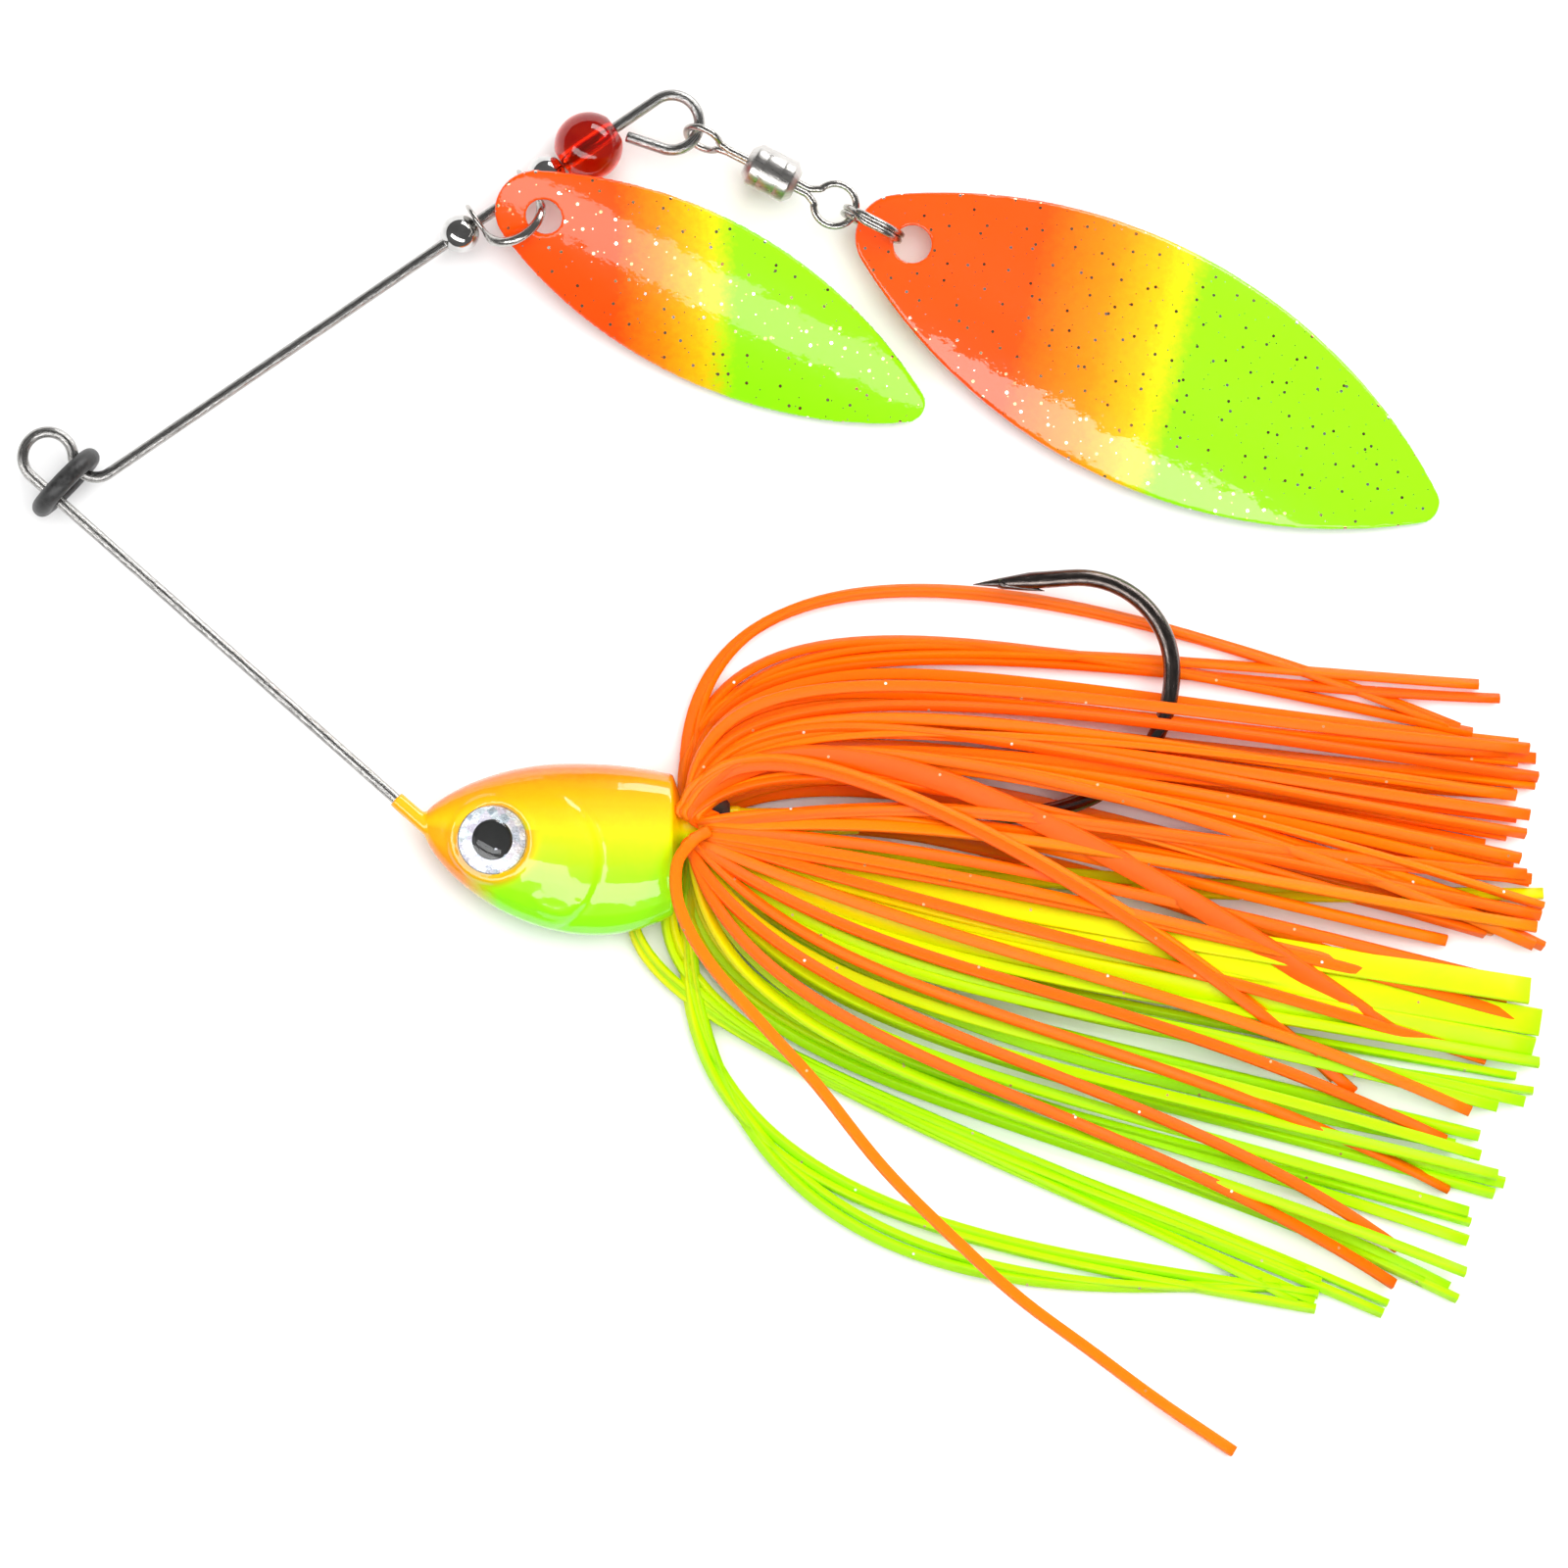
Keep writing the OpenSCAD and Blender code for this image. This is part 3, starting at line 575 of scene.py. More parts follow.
STEEL = drawn_steel("wire")
SMALL_STEEL = drawn_steel("hardware_steel", 0.36, 0.6, (0.16, 0.26), (1.0, 0.96, 0.91), (0.3, 3.0))
BARREL_STEEL = drawn_steel("barrel_steel", 0.48, 0.64, (0.26, 0.34), (1.0, 0.97, 0.93), (0.15, 9.0))
BEAD = bead_steel()
NICKEL = black_nickel()
RUBBER = ring_rubber()
HEAD_PAINT = head_paint()
FOIL = eye_foil_material()
PUPIL = pupil_ink()
RESIN = clear_resin()
RED = red_glass()
SKIRT_ORANGE = silicone("skirt_orange", (1.0, 0.24, 0.0), (1.0, 0.165, 0.0), -34.0, 12.0, (1.0, 0.09, 0.0))
SKIRT_GREEN = silicone("skirt_chartreuse", (0.47, 0.92, 0.0), (0.95, 0.66, 0.0), -46.0, 7.0, (0.4, 0.84, 0.0))


# ---- wire form and O-ring
def build_wire():
    """The whole wire form: tip loop, arm, line tie, leg and the link inside the head."""
    tail_start = TAIL_DIR - 270
    arm_moves = [(TIE_R, KICK_START + LEG_ANGLE - 270), (KICK_R, ARM_ANGLE + 90 - KICK_START), (ARM_LEN, 0),
                 (TIP_R, tail_start - ARM_ANGLE - 90), (TAIL_LEN, 0)]
    leg_moves = [(LEG_LEN + NOSE_RUN, 0), (INNER_BEND_R, LEG_ANGLE), (INNER_RUN, 0), (LINK_BEND_R, 90),
                 (LINK_RISE, 0)]
    arm = plane_route(LEG_TANGENT, 180 - LEG_ANGLE, arm_moves)
    leg = plane_route(LEG_TANGENT, -LEG_ANGLE, leg_moves)
    route = list(reversed(leg)) + arm[1:]
    shape = round_bar(route, WIRE_D / 2, 24)
    make_object("wire_form_steel", shape, STEEL, "lure", ["wire_form"])


def circle_points(centre, radius, first, second, count):
    """Points of a circle in the plane of two directions."""
    return [centre + radius * (first * math.cos(a) + second * math.sin(a))
            for a in np.linspace(0, 2 * math.pi, count, endpoint=False)]


def build_o_ring():
    """Rubber ring round both wires below the line tie."""
    centre, ring_r, section_r, lean = np.array([1.58, -2.2, 0.0]), 3.0, 0.85, 46
    side = np.array([*polar(1, lean), 0.0])
    points = circle_points(centre, ring_r, side, UP, 72)
    shape = round_bar(points, section_r, 24, closed=True, up=np.cross(side, UP))
    make_object("line_tie_o_ring", shape, RUBBER, "lure", ["line_tie_ring"])


# ---- hook
HOOK_EYE_D = HOOK_D * 0.8
HOOK_EYE_R = (HOOK_EYE_BORE + HOOK_EYE_D) / 2
BEND_END = (LEG_TANGENT + polar(LEG_LEN + NOSE_RUN, -LEG_ANGLE) + polar(INNER_BEND_R, 90 - LEG_ANGLE)
            + polar(INNER_BEND_R, -90))
HOOK_EYE = BEND_END + np.array([INNER_RUN + LINK_BEND_R + (HOOK_EYE_BORE - WIRE_D) / 2 - 0.1,
                                LINK_BEND_R + LINK_RISE / 3])
SHANK_START = HOOK_EYE + polar(HOOK_EYE_R, HOOK_RISE)
SHANK_LEN = 37.4
BEND_MOVES = [(16.0, 28.0), (12.0, 60.0), (8.2, 94.0), (3.6, 0)]
POINT_LEN = 5.0
BARB_LEN = 4.1
BARB_LIFT = 14


def barb_taper(share):
    """The barb's thickness: full near its root, then thinning to a sharp end."""
    swell = math.sin(math.pi * min(1, 0.35 + 0.65 * share)) if share < 0.2 else (1 - share) ** 0.7
    return max(0.06, swell)


def build_hook():
    """Shank, bend and tapered point, with the barb on the point's inner side and the eye inside the head."""
    route = plane_route(SHANK_START, HOOK_RISE, [(SHANK_LEN, 0)] + BEND_MOVES, 4.0)
    end, before = route[-1], route[-2]
    out = unit(end - before)
    point = [end + out * POINT_LEN * t for t in np.linspace(0.08, 1, 12)]
    count = len(route) + len(point)

    def taper(share):
        place = share * (count - 1) - (len(route) - 1)
        return 1 if place <= 0 else max(0.05, (1 - place / len(point)) ** 0.8)

    shank = round_bar(route + point, HOOK_D / 2, 24, taper=taper, round_ends=False)
    inward = np.array([-out[1], out[0], 0.0])
    base = end + out * 0.6 + inward * HOOK_D * 0.1
    lift = math.radians(BARB_LIFT)
    back = unit(-out * math.cos(lift) + inward * math.sin(lift))
    root = base + out * 2.2 - inward * 0.15
    barb = round_bar([root + back * BARB_LEN * t for t in np.linspace(0, 1, 10)], HOOK_D * 0.34, 16,
                     round_ends=False, taper=barb_taper)
    eye = circle_points(np.array([*HOOK_EYE, 0.0]), HOOK_EYE_R, np.array([1.0, 0.0, 0.0]), UP, 48)
    ring = round_bar(eye, HOOK_EYE_D / 2, 16, closed=True, up=(0, 1, 0))
    shape = joined([shank, barb, ring])
    make_object("hook_black_nickel", shape, NICKEL, "lure", ["hook"])


# ---- head and eyes
GILL_R = 6.4
FOIL_Z = 2.55
PUPIL_R = 1.7
DOME_RISE = 1.2
DOME_CROWN = 0.82
DOME_LIP = 0.25
DOME_BASE = 0.21


def head_height_share(x, y):
    """0 at the belly's outline and 1 at the back's, at a place on the head."""
    u = np.clip((x - NOSE[0]) / HEAD_LEN, 0.02, 1)
    rise = np.sin(np.radians(90 * np.minimum(1, u / 0.55))) ** 0.62 * 5.05
    drop = np.sin(np.radians(90 * np.minimum(1, u / 0.66))) ** 0.58 * 10.0
    return np.clip((y - NOSE[1] + drop) / (rise + drop), 0, 1)


def ridge(x, y, centre, radius, start, end, width):
    """Height from 0 to 1 of a soft ridge along an arc."""
    dx, dy = x - centre[0], y - centre[1]
    across = np.hypot(dx, dy) - radius
    angle = np.degrees(np.arctan2(dy, dx)) % 360
    middle, half = (start + end) / 2, (end - start) / 2
    fade = np.clip((half - np.abs(angle - middle)) / 14, 0, 1)
    return np.exp(-(across / width) ** 2) * fade * fade * (3 - 2 * fade)


def shape_head(points, normals, mesh):
    """Raises the gill plate, cheek line and eye rim, cuts the crease, and stores what the paint reads."""
    x, y, z = points.T
    on_side = np.clip(np.abs(z) / 1.6, 0, 1)
    # the gill plate stands proud, with a crease just behind its edge
    reach = np.hypot(x - (NOSE[0] + 9.0), y - (NOSE[1] - 3.4))
    plate = 1 / (1 + np.exp(np.clip((reach - GILL_R) / 0.24, -30, 30)))
    behind_eye = np.clip((x - NOSE[0] - 9.0) / 4.0, 0, 1) * np.clip((NOSE[1] + 2.9 - y) / 1.6, 0, 1)
    lift = 0.24 * plate * behind_eye
    lift -= 0.16 * np.exp(-((reach - GILL_R - 0.45) / 0.35) ** 2) * behind_eye
    lift += 0.10 * ridge(x, y, (NOSE[0] + 12.0, NOSE[1] - 5.4), 2.4, 200, 330, 0.5)
    lift *= on_side * (x < NOSE[0] + HEAD_LEN - 2)
    eye_gap = np.hypot(x - (NOSE[0] + 6.3), y - (NOSE[1] - 1.6))
    rim = 0.16 * np.exp(-((eye_gap - EYE_D / 2 - 0.5) / 0.35) ** 2) * (np.abs(z) > 1.5)
    share = head_height_share(x, y)
    muzzle = np.clip((6.8 - (x - NOSE[0])) / 3.2, 0, 1) * np.clip((0.72 - share) / 0.2, 0, 1)
    muzzle = np.maximum(muzzle, 0.9 * np.exp(-((eye_gap - EYE_D / 2 - 0.25) / 0.7) ** 2) * (share < 0.6))
    sleeve = x < NOSE[0] + 0.6
    keeper = x > NOSE[0] + HEAD_LEN + 0.2
    share = np.where(sleeve, 0.74, np.where(keeper, 0.6, share))
    muzzle = np.where(sleeve, 0.35, np.where(keeper, 0.2, muzzle * 0.85))
    for name, values in (("height_share", share), ("muzzle", muzzle)):
        mesh.attributes.new(name, "FLOAT", "POINT").data.foreach_set("value", values.astype(np.float32))
    return points + normals * (lift + rim)[:, None]


def build_head():
    """Painted casting, remade finely from the CAD head."""
    softened("head", "head_painted", 0.17, 5, HEAD_PAINT, "lure", shape_head)


def disc_mesh(centre, radius, side, height, rings=14, sides=72, crinkle=0.0, thickness=0.12):
    """A disc facing up or down, with its face's height from height(share), closed underneath."""
    verts, faces, uvs = [], [], []
    for i in range(rings + 1):
        share = i / rings
        for j in range(sides):
            x, y = polar(radius * share, 360 * j / sides)
            rough = crinkle * noise.noise(Vector((x * 1.9, y * 1.9, side * 3.0))) if 0 < share < 0.97 else 0
            verts.append((centre[0] + x, centre[1] + y, centre[2] + side * (height(share) + rough)))
    for i in range(rings):
        for j in range(sides):
            k = (j + 1) % sides
            faces.append((i * sides + j, (i + 1) * sides + j, (i + 1) * sides + k, i * sides + k))
    for j in range(sides):
        verts.append((*verts[rings * sides + j][:2], centre[2] + side * (height(1) - thickness)))
    start = (rings + 1) * sides
    for j in range(sides):
        k = (j + 1) % sides
        faces.append((rings * sides + j, start + j, start + k, rings * sides + k))
    faces.append([start + j for j in range(sides - 1, -1, -1)])
    if side < 0:
        faces = [tuple(reversed(f)) for f in faces]
    return verts, faces, None


def foil_height(share):
    return 0.13


def pupil_height(share):
    return 0.2 - 0.03 * share * share


def dome_height(share):
    """Clear dome over the foil, turned down at its rim."""
    height = DOME_RISE - DOME_CROWN * share * share
    return height if share < 0.94 else height - DOME_LIP * ((share - 0.94) / 0.06) ** 2


def build_eyes():
    """Foil, pupil and clear dome on each side of the head."""
    for side, name in ((1, "left"), (-1, "right")):
        centre = middle_of(f"eye_foil_{name}")
        centre[2] = side * FOIL_Z
        shape = disc_mesh(centre, EYE_D / 2 - 0.02, side, foil_height, crinkle=0.10)
        make_object(f"eye_{name}_foil", shape, FOIL, "lure", [f"eye_foil_{name}"])
        shape = disc_mesh(centre, PUPIL_R, side, pupil_height, 6, 56, thickness=0.08)
        make_object(f"eye_{name}_pupil", shape, PUPIL, "lure")
        shape = disc_mesh(centre, EYE_D / 2 - 0.03, side, dome_height, 22, 96,
                          thickness=dome_height(1) - DOME_BASE)
        dome = make_object(f"eye_{name}_dome", shape, RESIN, "lure", [f"eye_dome_{name}"])
        dome.visible_shadow = False  # light reaches the foil through the clear dome


# ---- skirt
ROOT = np.array([56.1, -32.4])
STRAND_T = 0.62
BAND_X = 1.1
BAND_Y = 2.3
LOWEST = -3.72
ROW_END = 130.7
WIDE = 1.5
SPREAD = 1.8
ROOT_Z = 2.9
GREEN_ROOT_Z = 1.7


def strand_section(width, thick, corner=0.16):
    """Rectangle with small rounded corners."""
    points = []
    for sx, sy in ((1, 1), (-1, 1), (-1, -1), (1, -1)):
        for a in (0, 45, 90) if sx * sy > 0 else (90, 45, 0):
            x, y = polar(corner, a)
            points.append((sx * (width / 2 - corner + x), sy * (thick / 2 - corner + y)))
    return points


def strand(tip, launch, reach, arrive, hold, heights, width, roll, twist):
    """One strand: it leaves the band in the direction launch, and comes to its tip in the direction arrive."""
    rise = math.sin(math.radians(launch))
    start = ROOT + np.array([BAND_X * math.cos(math.radians(launch)) + rng.uniform(-0.7, 0.5), BAND_Y * rise])
    first = start + polar(reach, launch)
    second = np.array(tip) - polar(hold, arrive)
    controls = [np.array([*p, z]) for p, z in zip((start, first, second, np.array(tip)), heights)]
    points, rolls = [], []
    steps = 46
    for i in range(steps + 1):
        t = i / steps
        a, b, c, d = (1 - t) ** 3, 3 * t * (1 - t) ** 2, 3 * t * t * (1 - t), t ** 3
        points.append(a * controls[0] + b * controls[1] + c * controls[2] + d * controls[3])
        rolls.append(roll + twist * math.sin(math.pi * t * 0.9))
    wave = rng.uniform(0, 6.28)
    # a strand that leaves steeply starts under the band and bends out over it
    inner = np.array([ROOT[0] + 2.0, ROOT[1] + 0.6 * rise, heights[0] * 0.7])
    bend = np.array([start[0] - 0.3, (start[1] + inner[1]) / 2, heights[0] * 0.95])
    if abs(rise) > 0.55:
        lead = smooth_route([inner, bend, points[0], points[1]], 5)[:-5]
        points = lead[:-1] + points
        rolls = [rolls[0]] * (len(lead) - 1) + rolls
    for i, p in enumerate(points):
        t = max(0, i - len(points) + 1 + steps) / steps
        p[2] += 0.12 * math.sin(wave + 7 * t) * t
        p[1] += 0.25 * math.sin(wave * 2 + 9 * t) * t * (1 - t)
        p[2] = max(p[2], LOWEST)
    return sweep_mesh(points, strand_section(width, STRAND_T), None, rolls)


def family(heroes, root_z):
    """Strands for rows as in the tables below. Where the fan is dense each has one copy beside it."""
    parts = []
    for x, y, launch, reach, arrive, hold, height, *given in heroes:
        width = given[0] if given else 1.0
        dense = width < WIDE and (height < 0 or launch > 0)
        for shake in (0, 1) if dense else (0,):
            tip = (min(ROW_END, x + shake * rng.uniform(-1.2, 0.9) * SPREAD),
                   y + shake * rng.uniform(-1, 1) * SPREAD)
            turn = launch + shake * rng.uniform(-7, 7)
            mid = height + shake * rng.uniform(-0.7, 0.7)
            if height > 0:
                heights = (root_z, mid * 1.5, mid, -3.5 + rng.uniform(0, 1.6))
            else:
                heights = (-root_z, -2.9, -3.4, -3.55)
            reach_now = reach + shake * rng.uniform(-2, 2)
            arrive_now = arrive + shake * rng.uniform(-3, 3)
            parts.append(strand(tip, turn, reach_now, arrive_now, hold, heights, width, rng.uniform(-0.5, 0.5),
                                rng.uniform(-0.6, 0.6)))
    return joined(parts)


# tip x, tip y, launch, reach, arrive, hold, height above the hook's plane, and a width where it isn't 1 mm
ORANGE_FRONT = [
    (129.4, -25.4, 86, 17, -5, 44, 2.6), (130.2, -27.9, 80, 14, -8, 42, 3.0),
    (129.4, -31.2, 72, 12, -8, 40, 3.2), (128.0, -29.5, 66, 10, -9, 40, 3.4, 1.4),
    (128.6, -35.0, 60, 10, -12, 38, 3.4), (130.6, -39.2, 76, 9, -18, 42, 4.2),
    (129.8, -42.6, 68, 10, -24, 40, 4.4), (125.5, -41.6, 40, 12, -16, 34, 3.6),
    (122.2, -42.2, 12, 16, -12, 30, 3.0), (117.2, -50.3, 58, 14, -36, 30, 4.4, 2.0),
    (114.0, -55.4, 70, 12, -42, 26, 4.6), (129.4, -49.2, -12, 22, -17, 36, 3.0),
    (126.0, -45.5, -3, 20, -14, 34, 3.0), (124.2, -57.1, -25, 22, -24, 30, 2.8),
    (129.6, -36.8, 8, 26, -5, 36, 3.6), (130.0, -41.0, 3, 26, -9, 36, 3.4),
    (127.5, -47.2, -8, 24, -12, 34, 3.2), (125.6, -52.6, -18, 22, -18, 32, 3.0),
    (122.1, -59.7, -36, 20, -26, 32, 3.0), (122.4, -64.0, -48, 20, -28, 32, 3.2),
    (117.9, -69.1, -60, 18, -36, 28, 3.4), (117.6, -72.3, -74, 18, -34, 30, 3.6),
]
ORANGE_BACK = [
    (122.4, -23.4, 96, 24, -22, 45, -2.6), (126.9, -21.0, 92, 20, -2, 34, -2.0),
    (124.5, -24.0, 90, 21, -12, 42, -2.4), (128.5, -25.0, 88, 18.5, -6, 42, -2.6),
    (128.5, -26.5, 82, 16, -5, 40, -2.8), (130.0, -28.5, 76, 12, -6, 42, -2.8),
    (127.5, -33.0, 64, 10, -10, 40, -2.8), (129.5, -37.0, 50, 12, -12, 38, -2.8),
    (127.0, -40.5, 30, 16, -14, 36, -2.8), (120.5, -47.0, 5, 18, -20, 34, -2.8),
]
GREEN_FRONT = [
    (129.4, -46.6, -16, 18, -9, 38, 1.7, 2.4), (130.4, -49.4, -24, 18, -10, 38, 1.7, 2.4),
    (129.8, -51.6, -31, 18, -11, 38, 1.7, 2.0), (127.4, -49.0, -20, 20, -10, 36, 1.8, 1.6),
    (130.3, -52.9, -38, 16, -10, 40, 1.9), (129.0, -56.3, -46, 16, -13, 40, 1.9),
    (126.6, -56.7, -52, 16, -15, 40, 1.9), (125.1, -61.0, -60, 16, -17, 40, 1.9),
    (126.6, -62.7, -66, 17, -14, 42, 1.9), (124.1, -66.0, -74, 18, -17, 42, 1.9),
    (123.8, -71.2, -84, 19, -22, 42, 1.9),
]
GREEN_BACK = [
    (130.7, -38.1, -8, 20, 0, 30, -2.8), (128.3, -54.1, -40, 16, -10, 40, -2.8),
    (125.1, -59.3, -54, 16, -14, 40, -2.8), (126.4, -64.4, -66, 18, -16, 40, -2.8),
    (124.1, -68.5, -78, 18, -19, 40, -2.8), (123.2, -73.6, -90, 18, -26, 38, -2.8),
    (120.2, -72.1, -100, 18, -25, 40, -2.8), (109.1, -73.8, -145, 20, -27, 40, -2.8),
    (117.1, -74.0, -118, 19, -24, 44, -2.8), (111.2, -72.1, -142, 20, -22, 42, -2.8),
    (106.1, -72.1, -92, 28, 5, 36, -2.8), (111.0, -73.2, -98, 30, -8, 34, -2.8),
]
LOOSE_ROUTE = [(57.6, -32.6, 3.6), (56.2, -33.5, 5.0), (54.9, -35.6, 5.6), (55.2, -39.3, 6.0),
               (57.6, -43.8, 5.9), (62.4, -49.4, 5.5), (67, -54.5, 4.9), (73, -62, 3.9), (80, -69, 2.5),
               (85, -73.5, 1.2), (91, -78, -0.7), (97, -82.5, -2.6), (103.6, -87, LOWEST)]


def smooth_route(points, pieces=10):
    """Catmull-Rom line through the points."""
    p = [np.array(q, float) for q in points]
    p = [2 * p[0] - p[1]] + p + [2 * p[-1] - p[-2]]
    out = []
    for a, b, c, d in zip(p, p[1:], p[2:], p[3:]):
        for i in range(pieces):
            t = i / pieces
            out.append(0.5 * (2 * b + (c - a) * t + (2 * a - 5 * b + 4 * c - d) * t * t
                              + (3 * b - a - 3 * c + d) * t ** 3))
    return out + [p[-2]]


def build_skirt():
    """Four fans of strands, the long loose strand and the band that holds them."""
    colours = (("orange", "skirt_orange", SKIRT_ORANGE, (ORANGE_FRONT, ROOT_Z), (ORANGE_BACK, ROOT_Z)),
               ("green", "skirt_chartreuse", SKIRT_GREEN, (GREEN_FRONT, GREEN_ROOT_Z), (GREEN_BACK, ROOT_Z)))
    for colour, slot, finish, *fans in colours:
        for place, layer, (heroes, root_z) in zip(("front", "back"), ("upper", "lower"), fans):
            make_object(f"skirt_{colour}_{place}", family(heroes, root_z), finish, "lure",
                        [f"{slot}_{layer}"])
    shape = sweep_mesh(smooth_route(LOOSE_ROUTE), strand_section(1.0, 0.7))
    make_object("skirt_loose_strand", shape, SKIRT_ORANGE, "lure", ["loose_strand"])
    half, inner_r, outer_r, corner = 1.3, 1.72, 2.3, 0.1
    side = [(-half, inner_r), (-half, 1.9), (-half + 2 * corner, outer_r - corner),
            (-half + 7 * corner, outer_r)]
    profile = side + [(-x, r) for x, r in reversed(side)]
    shape = lathe_mesh(profile, middle_of("skirt_band"), (*polar(1, HOOK_RISE), 0), 48)
    make_object("skirt_band_rubber", shape, RUBBER, "lure", ["skirt_band"])


# ---- beads, clevis and swivel
ARM_AXIS = np.array([*polar(1, ARM_ANGLE), 0.0])
CHAIN_AXIS = np.array([*polar(1, -CHAIN_ANGLE), 0.0])


def on_arm(s):
    """Point on the arm's centre line, s from the arm's start."""
    return np.array([*(ARM_START + polar(s, ARM_ANGLE)), 0.0])


def on_chain(d):
    """Point on the chain's line, d from the tip loop's centre."""
    return np.array([*(TIP_CENTRE + polar(d, -CHAIN_ANGLE)), 0.0])


def bored_ball(centre, axis, diameter, length, bore, steps=28, sides=64):
    """Closed turned ball with a bore along its axis and a small lip at each mouth."""
    r = diameter / 2
    half = min(length / 2, math.sqrt(r * r - bore * bore))
    first = math.acos(half / r)
    outer = [(-r * math.cos(a), r * math.sin(a)) for a in np.linspace(first, math.pi - first, steps)]
    inner = [(half - 0.06, bore), (-half + 0.06, bore)]
    profile = outer + [(half, bore + 0.06)] + inner + [(-half, bore + 0.06)]
    verts, faces, uvs = lathe_mesh(profile + [profile[0]], centre, axis, sides)
    last = len(profile) * sides
    faces = [tuple(i - last if i >= last else i for i in f) for f in faces]
    return verts[:last], faces, uvs


def build_beads():
    """Two steel beads and the red glass bead, on the arm."""
    for name in ("lower_bead", "upper_bead"):
        shape = bored_ball(middle_of(name), ARM_AXIS, BEAD_D, BEAD_D, BEAD_BORE_R)
        make_object(f"{name}_steel", shape, BEAD, name, [name])
    shape = bored_ball(middle_of("glass_bead"), ARM_AXIS, GLASS_D, GLASS_LEN, BEAD_BORE_R, 40, 96)
    make_object("glass_bead_red", shape, RED, "glass_bead", ["glass_bead"])


def build_clevis():
    """Two discs on the arm joined by a round bow whose ends are pressed flat."""
    lean = math.radians(44)
    disc_half, disc_r, bow_wire_r, bow_reach = 0.2, 1.78, 0.42, 2.3
    centre = on_arm(CLEVIS_PLACE)
    side = np.cross((0, 0, 1), ARM_AXIS)
    up = np.cross(ARM_AXIS, side) * math.cos(lean) - side * math.sin(lean)
    edge = [(-disc_half, BEAD_BORE_R), (-disc_half, disc_r - 0.18), (-disc_half / 2, disc_r)]
    profile = edge + [(-x, r) for x, r in reversed(edge)] + [(-disc_half, BEAD_BORE_R)]
    parts = [lathe_mesh(profile, centre + ARM_AXIS * way * CLEVIS_BOW_R, ARM_AXIS, 40, up) for way in (-1, 1)]
    stem = (1.2, 1.5, 1.9)
    route = [centre - ARM_AXIS * CLEVIS_BOW_R + up * z for z in stem]
    route += [centre + up * bow_reach + CLEVIS_BOW_R * (-ARM_AXIS * math.cos(a) + up * math.sin(a))
              for a in np.linspace(0, math.pi, 30)]
    route += [centre + ARM_AXIS * CLEVIS_BOW_R + up * z for z in reversed(stem)]
    from_end = [min(i, len(route) - 1 - i) for i in range(len(route))]
    flat = [0.45 + 0.55 * min(1, max(0, (i - 1) / 5)) for i in from_end]
    scales = [(bow_wire_r * (1.5 - 0.5 * f), bow_wire_r * f) for f in flat]
    across = np.cross(np.cross(ARM_AXIS, up), up)
    parts.append(sweep_mesh(route, ring_section(1, 16), scales, None, False, across))
    shape = joined(parts)
    make_object("clevis_steel", shape, SMALL_STEEL, "clevis", ["clevis"])


def eye_wire(loop_r, stem_end, flip):
    """Bent swivel eye in its own plane: two close stems and a round loop. Points are (along, across)."""
    gap = 0.27
    open_angle = 22
    loop = [polar(loop_r, a) for a in np.linspace(open_angle, 360 - open_angle, 40)]
    neck = loop_r + 0.7
    upper = [(stem_end, gap), (neck + 0.5, gap), (neck, gap + 0.02)]
    lower = [(x, -y) for x, y in reversed(upper)]
    return [np.array([flip * x, y]) for x, y in upper + [tuple(p) for p in loop] + lower]


def split_ring_route(centre, across, pitch, count=145):
    """Two turns of wire side by side, which step across from one to the other half way."""
    points = []
    for i in range(count):
        turn = i / (count - 1)
        a = 4 * math.pi * i / (count - 1) + 2.2
        step = min(1, max(0, (turn - 0.46) / 0.08))
        offset = pitch * (step * step * (3 - 2 * step) - 0.5)
        points.append(centre + SPLIT_R * (CHAIN_AXIS * math.cos(a) + UP * math.sin(a)) + across * offset)
    return points


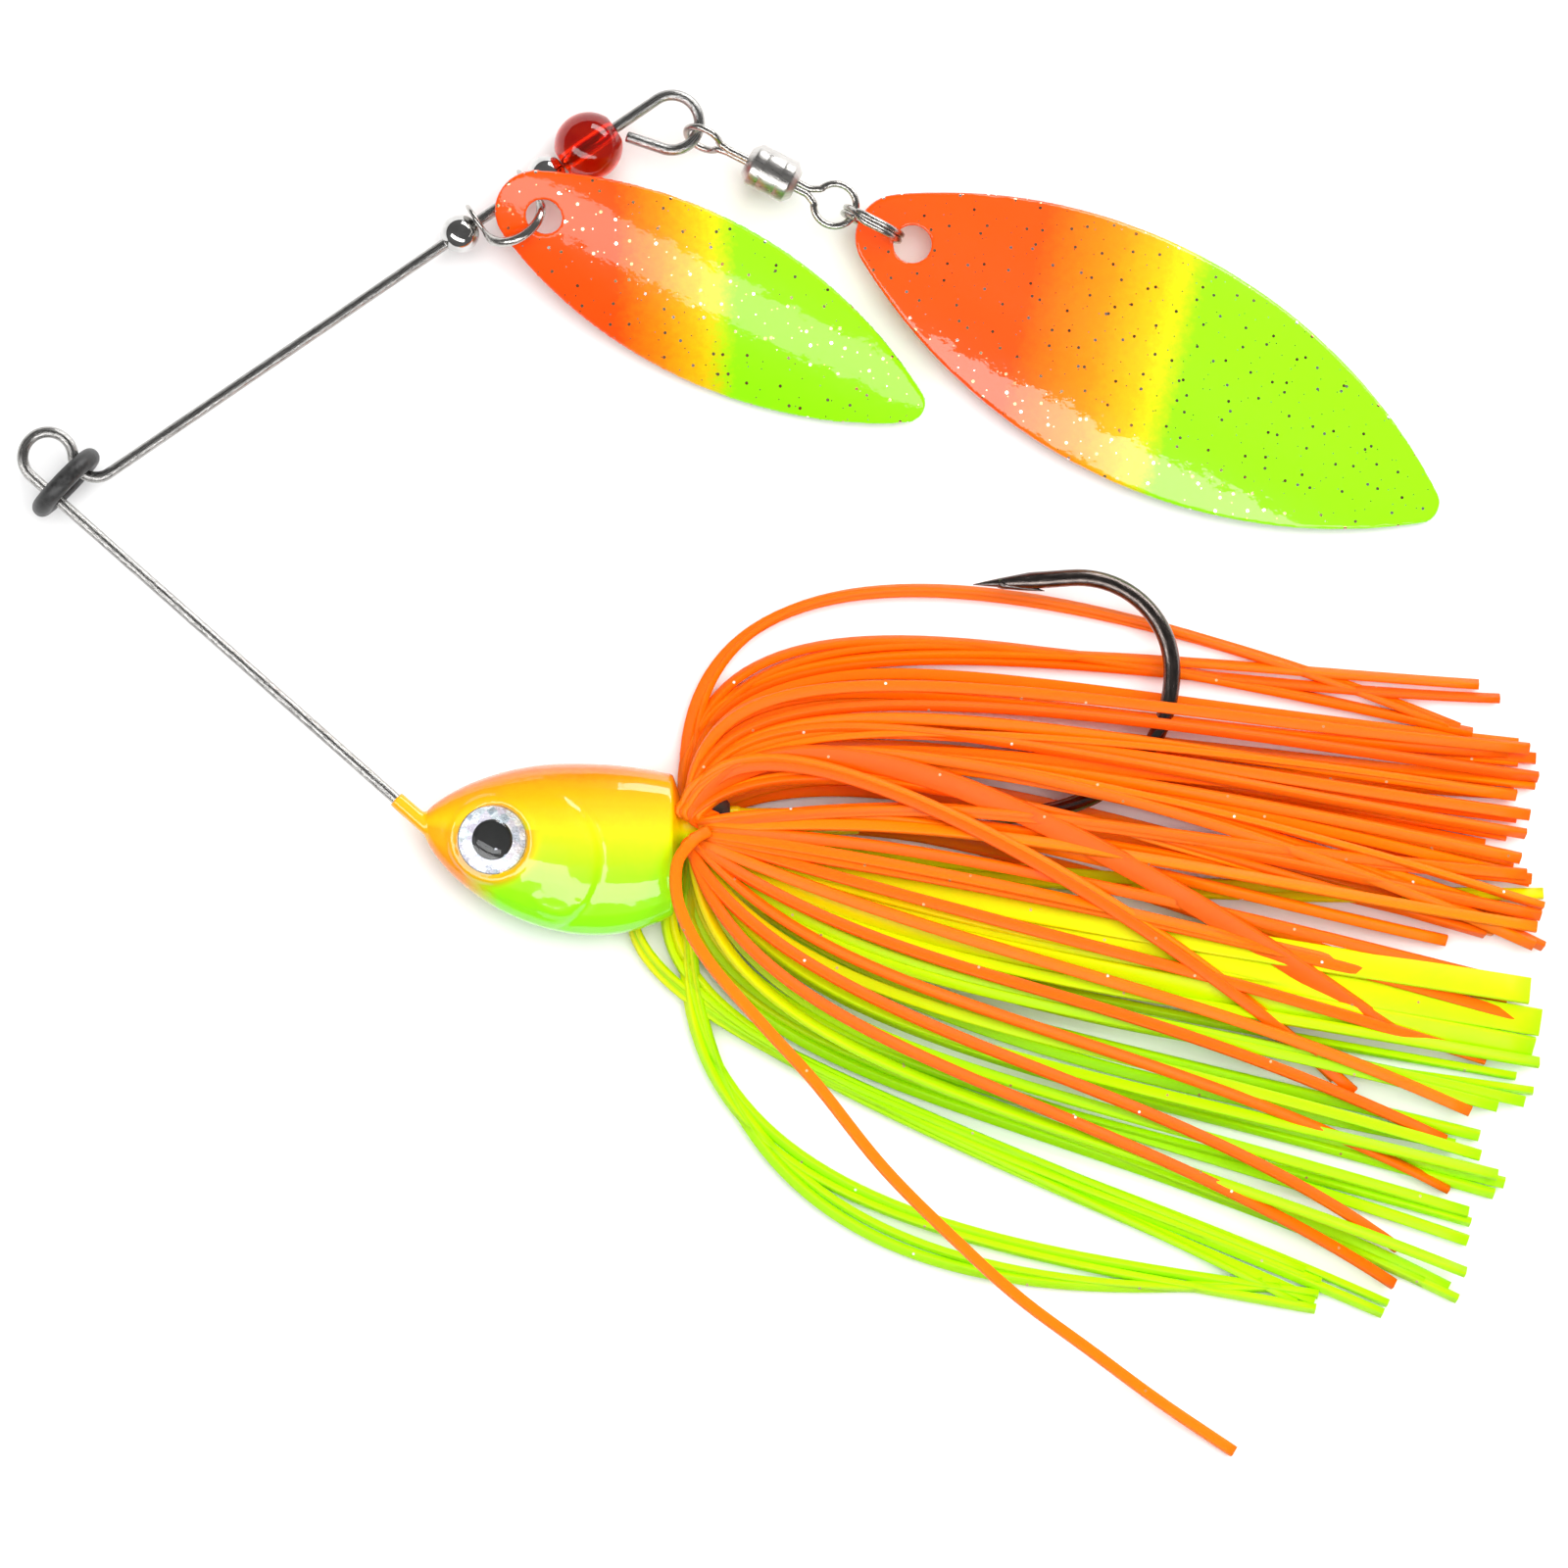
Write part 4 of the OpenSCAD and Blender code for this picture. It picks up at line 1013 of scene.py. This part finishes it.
def build_swivel():
    """Front eye, rear eye and barrel of the swivel, and the split ring."""
    across = np.cross((0, 0, 1), CHAIN_AXIS)
    lean = UP * math.cos(math.radians(26)) + across * math.sin(math.radians(26))
    eye_wire_r, knob_r, knob_len, split_wire_r = 0.32, 1.0, 0.8, 0.29
    barrel_end = BARREL_START + BARREL_LEN
    side = [(0, 0.05), (0, knob_r - 0.1), (0.1, knob_r)]
    knob = side + [(knob_len - x, r) for x, r in reversed(side)]
    # name, eye place, loop radius, stem end, way of the stem, side direction, start of the knob in the barrel
    front_stem = BARREL_START + 1.36 - FRONT_EYE_PLACE
    rear_stem = REAR_EYE_PLACE - barrel_end + 1.3
    eyes = (("front", FRONT_EYE_PLACE, 1.6, front_stem, 1, lean, BARREL_START + 0.76),
            ("rear", REAR_EYE_PLACE, 1.85, rear_stem, -1, across, barrel_end - 1.56))
    for name, place, loop_r, stem_end, way, side, knob_start in eyes:
        line = eye_wire(loop_r, stem_end, way)
        route = smooth_route([on_chain(place) + CHAIN_AXIS * p[0] + side * p[1] for p in line], 3)
        up = np.cross(CHAIN_AXIS, side) if name == "front" else (0, 0, 1)
        body = round_bar(route, eye_wire_r, 16, up=up)
        shape = joined([body, lathe_mesh(knob, on_chain(knob_start), CHAIN_AXIS, 32)])
        make_object(f"swivel_{name}_eye_steel", shape, SMALL_STEEL, f"swivel_{name}_eye",
                    [f"swivel_{name}_eye"])
    r, bore, chamber_r, groove = 1.95, 0.55, 1.35, 0.03
    outer = [(0, bore), (0, r - 0.75), (0.1, r - 0.6), (0.55, r - 0.08), (0.68, r)]
    for start in (1.5, 3.1):
        outer += [(start, r), (start + 0.05, r - groove), (start + 0.12, r - groove), (start + 0.17, r)]
    outer += [(4.12, r), (4.25, r - 0.08), (4.7, r - 0.6), (BARREL_LEN, r - 0.75), (BARREL_LEN, bore)]
    inner = [(BARREL_LEN - BARREL_WALL, bore), (BARREL_LEN - BARREL_WALL, chamber_r), (BARREL_WALL, chamber_r),
             (BARREL_WALL, bore), (0, bore)]
    shape = lathe_mesh(outer + inner, on_chain(BARREL_START), CHAIN_AXIS, 72)
    make_object("swivel_barrel_steel", shape, BARREL_STEEL, "swivel_barrel",
                ["swivel_barrel"])
    route = split_ring_route(on_chain(SPLIT_PLACE), across, 0.552)
    shape = round_bar(route, split_wire_r, 16, up=across)
    make_object("split_ring_steel", shape, SMALL_STEEL, "split_ring", ["split_ring"])


# ---- blades
def shape_blade(points, normals, mesh):
    """Lets the thick paint lie a little unevenly."""
    lumps = [noise.noise(Vector(p) * 0.5) + 0.4 * noise.noise(Vector((p[0] * 1.2, p[1] * 1.2, p[2])))
             for p in points.tolist()]
    return points + normals * (0.018 * np.array(lumps))[:, None]


def build_blades():
    """Both painted blades, remade finely from the CAD blades."""
    large = blade_paint("large_blade_paint", (84.0, 91.2, 95.4, 99.4), 0.25, 8.5, 0.0, 1.0)
    small = blade_paint("small_blade_paint", (49.5, 53.5, 56.5, 60.0), 0.0, 14.0, 57.0, 0.6)
    softened("large_blade", "large_blade_painted", 0.19, 3, large, "large_blade", shape_blade)
    softened("small_blade", "small_blade_painted", 0.17, 3, small, "small_blade", shape_blade)


# ---- studio
VIEW_CENTRE = Vector((0.0642, -0.0285, 0.0))
VIEW_WIDTH = 0.13675
VIEW_DISTANCE = 0.8
SENSOR = 36
FLOOR_HALF = 3.0
FLOOR_GAP = 0.25 * MM
# name, direction, distance, size along and across the chain, watts, lights surfaces, shows in gloss
LIGHTS = (("key", (0.3, 0.28, 0.9), 0.8, (0.8, 0.8), 9.0, True, False),
          ("fill", (-0.25, -0.1, 0.95), 0.9, (1.2, 1.2), 6.4, True, False),
          ("gloss_right", (0.50, 0.80, 0.33), 0.8, (0.7, 0.26), 4.0, False, True),
          ("gloss_left", (-0.27, -0.53, 0.80), 0.8, (1.5, 0.28), 7.2, False, True))


def build_floor():
    """Pale floor just under the lowest CAD solid."""
    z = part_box("skirt_orange_lower")[0].z - FLOOR_GAP
    mesh = bpy.data.meshes.new("floor")
    corners = [(x * FLOOR_HALF, y * FLOOR_HALF, z) for x, y in ((-1, -1), (1, -1), (1, 1), (-1, 1))]
    mesh.from_pydata(corners, [], [(0, 1, 2, 3)])
    mesh.materials.append(floor_white())
    floor = bpy.data.objects.new("floor", mesh)
    bpy.context.scene.collection.objects.link(floor)


def build_lights():
    """Faint white surroundings, two soft lamps for the surfaces and two panels that make the highlights."""
    world = bpy.data.worlds.new("studio")
    bpy.context.scene.world = world
    world.use_nodes = True
    world.node_tree.nodes["Background"].inputs["Color"].default_value = (1.0, 1.0, 1.0, 1)
    world.node_tree.nodes["Background"].inputs["Strength"].default_value = 0.16
    chain = Vector(CHAIN_AXIS)
    for name, direction, distance, size, power, diffuse, gloss in LIGHTS:
        data = bpy.data.lights.new(name, "AREA")
        data.shape = "RECTANGLE"
        data.size, data.size_y = size
        data.energy = power
        lamp = bpy.data.objects.new(name, data)
        bpy.context.scene.collection.objects.link(lamp)
        facing = Vector(direction).normalized()
        lamp.location = VIEW_CENTRE + facing * distance
        along = (chain - facing * facing.dot(chain)).normalized()
        lamp.rotation_euler = Matrix((along, facing.cross(along), facing)).transposed().to_euler()
        lamp.visible_diffuse = diffuse
        lamp.visible_glossy = gloss
        lamp.visible_transmission = gloss


def build_camera():
    """Camera straight above the lure."""
    data = bpy.data.cameras.new("camera")
    data.sensor_width = SENSOR
    data.lens = SENSOR * VIEW_DISTANCE / VIEW_WIDTH
    data.clip_start = 0.05
    data.clip_end = 20
    camera = bpy.data.objects.new("camera", data)
    camera.location = VIEW_CENTRE + Vector((0, 0, VIEW_DISTANCE))
    bpy.context.scene.collection.objects.link(camera)
    bpy.context.scene.camera = camera
    bpy.context.scene.view_settings.view_transform = "Standard"


build_floor()
build_lights()
build_camera()
build_wire()
build_o_ring()
build_hook()
build_head()
build_eyes()
build_skirt()
build_beads()
build_clevis()
build_swivel()
build_blades()
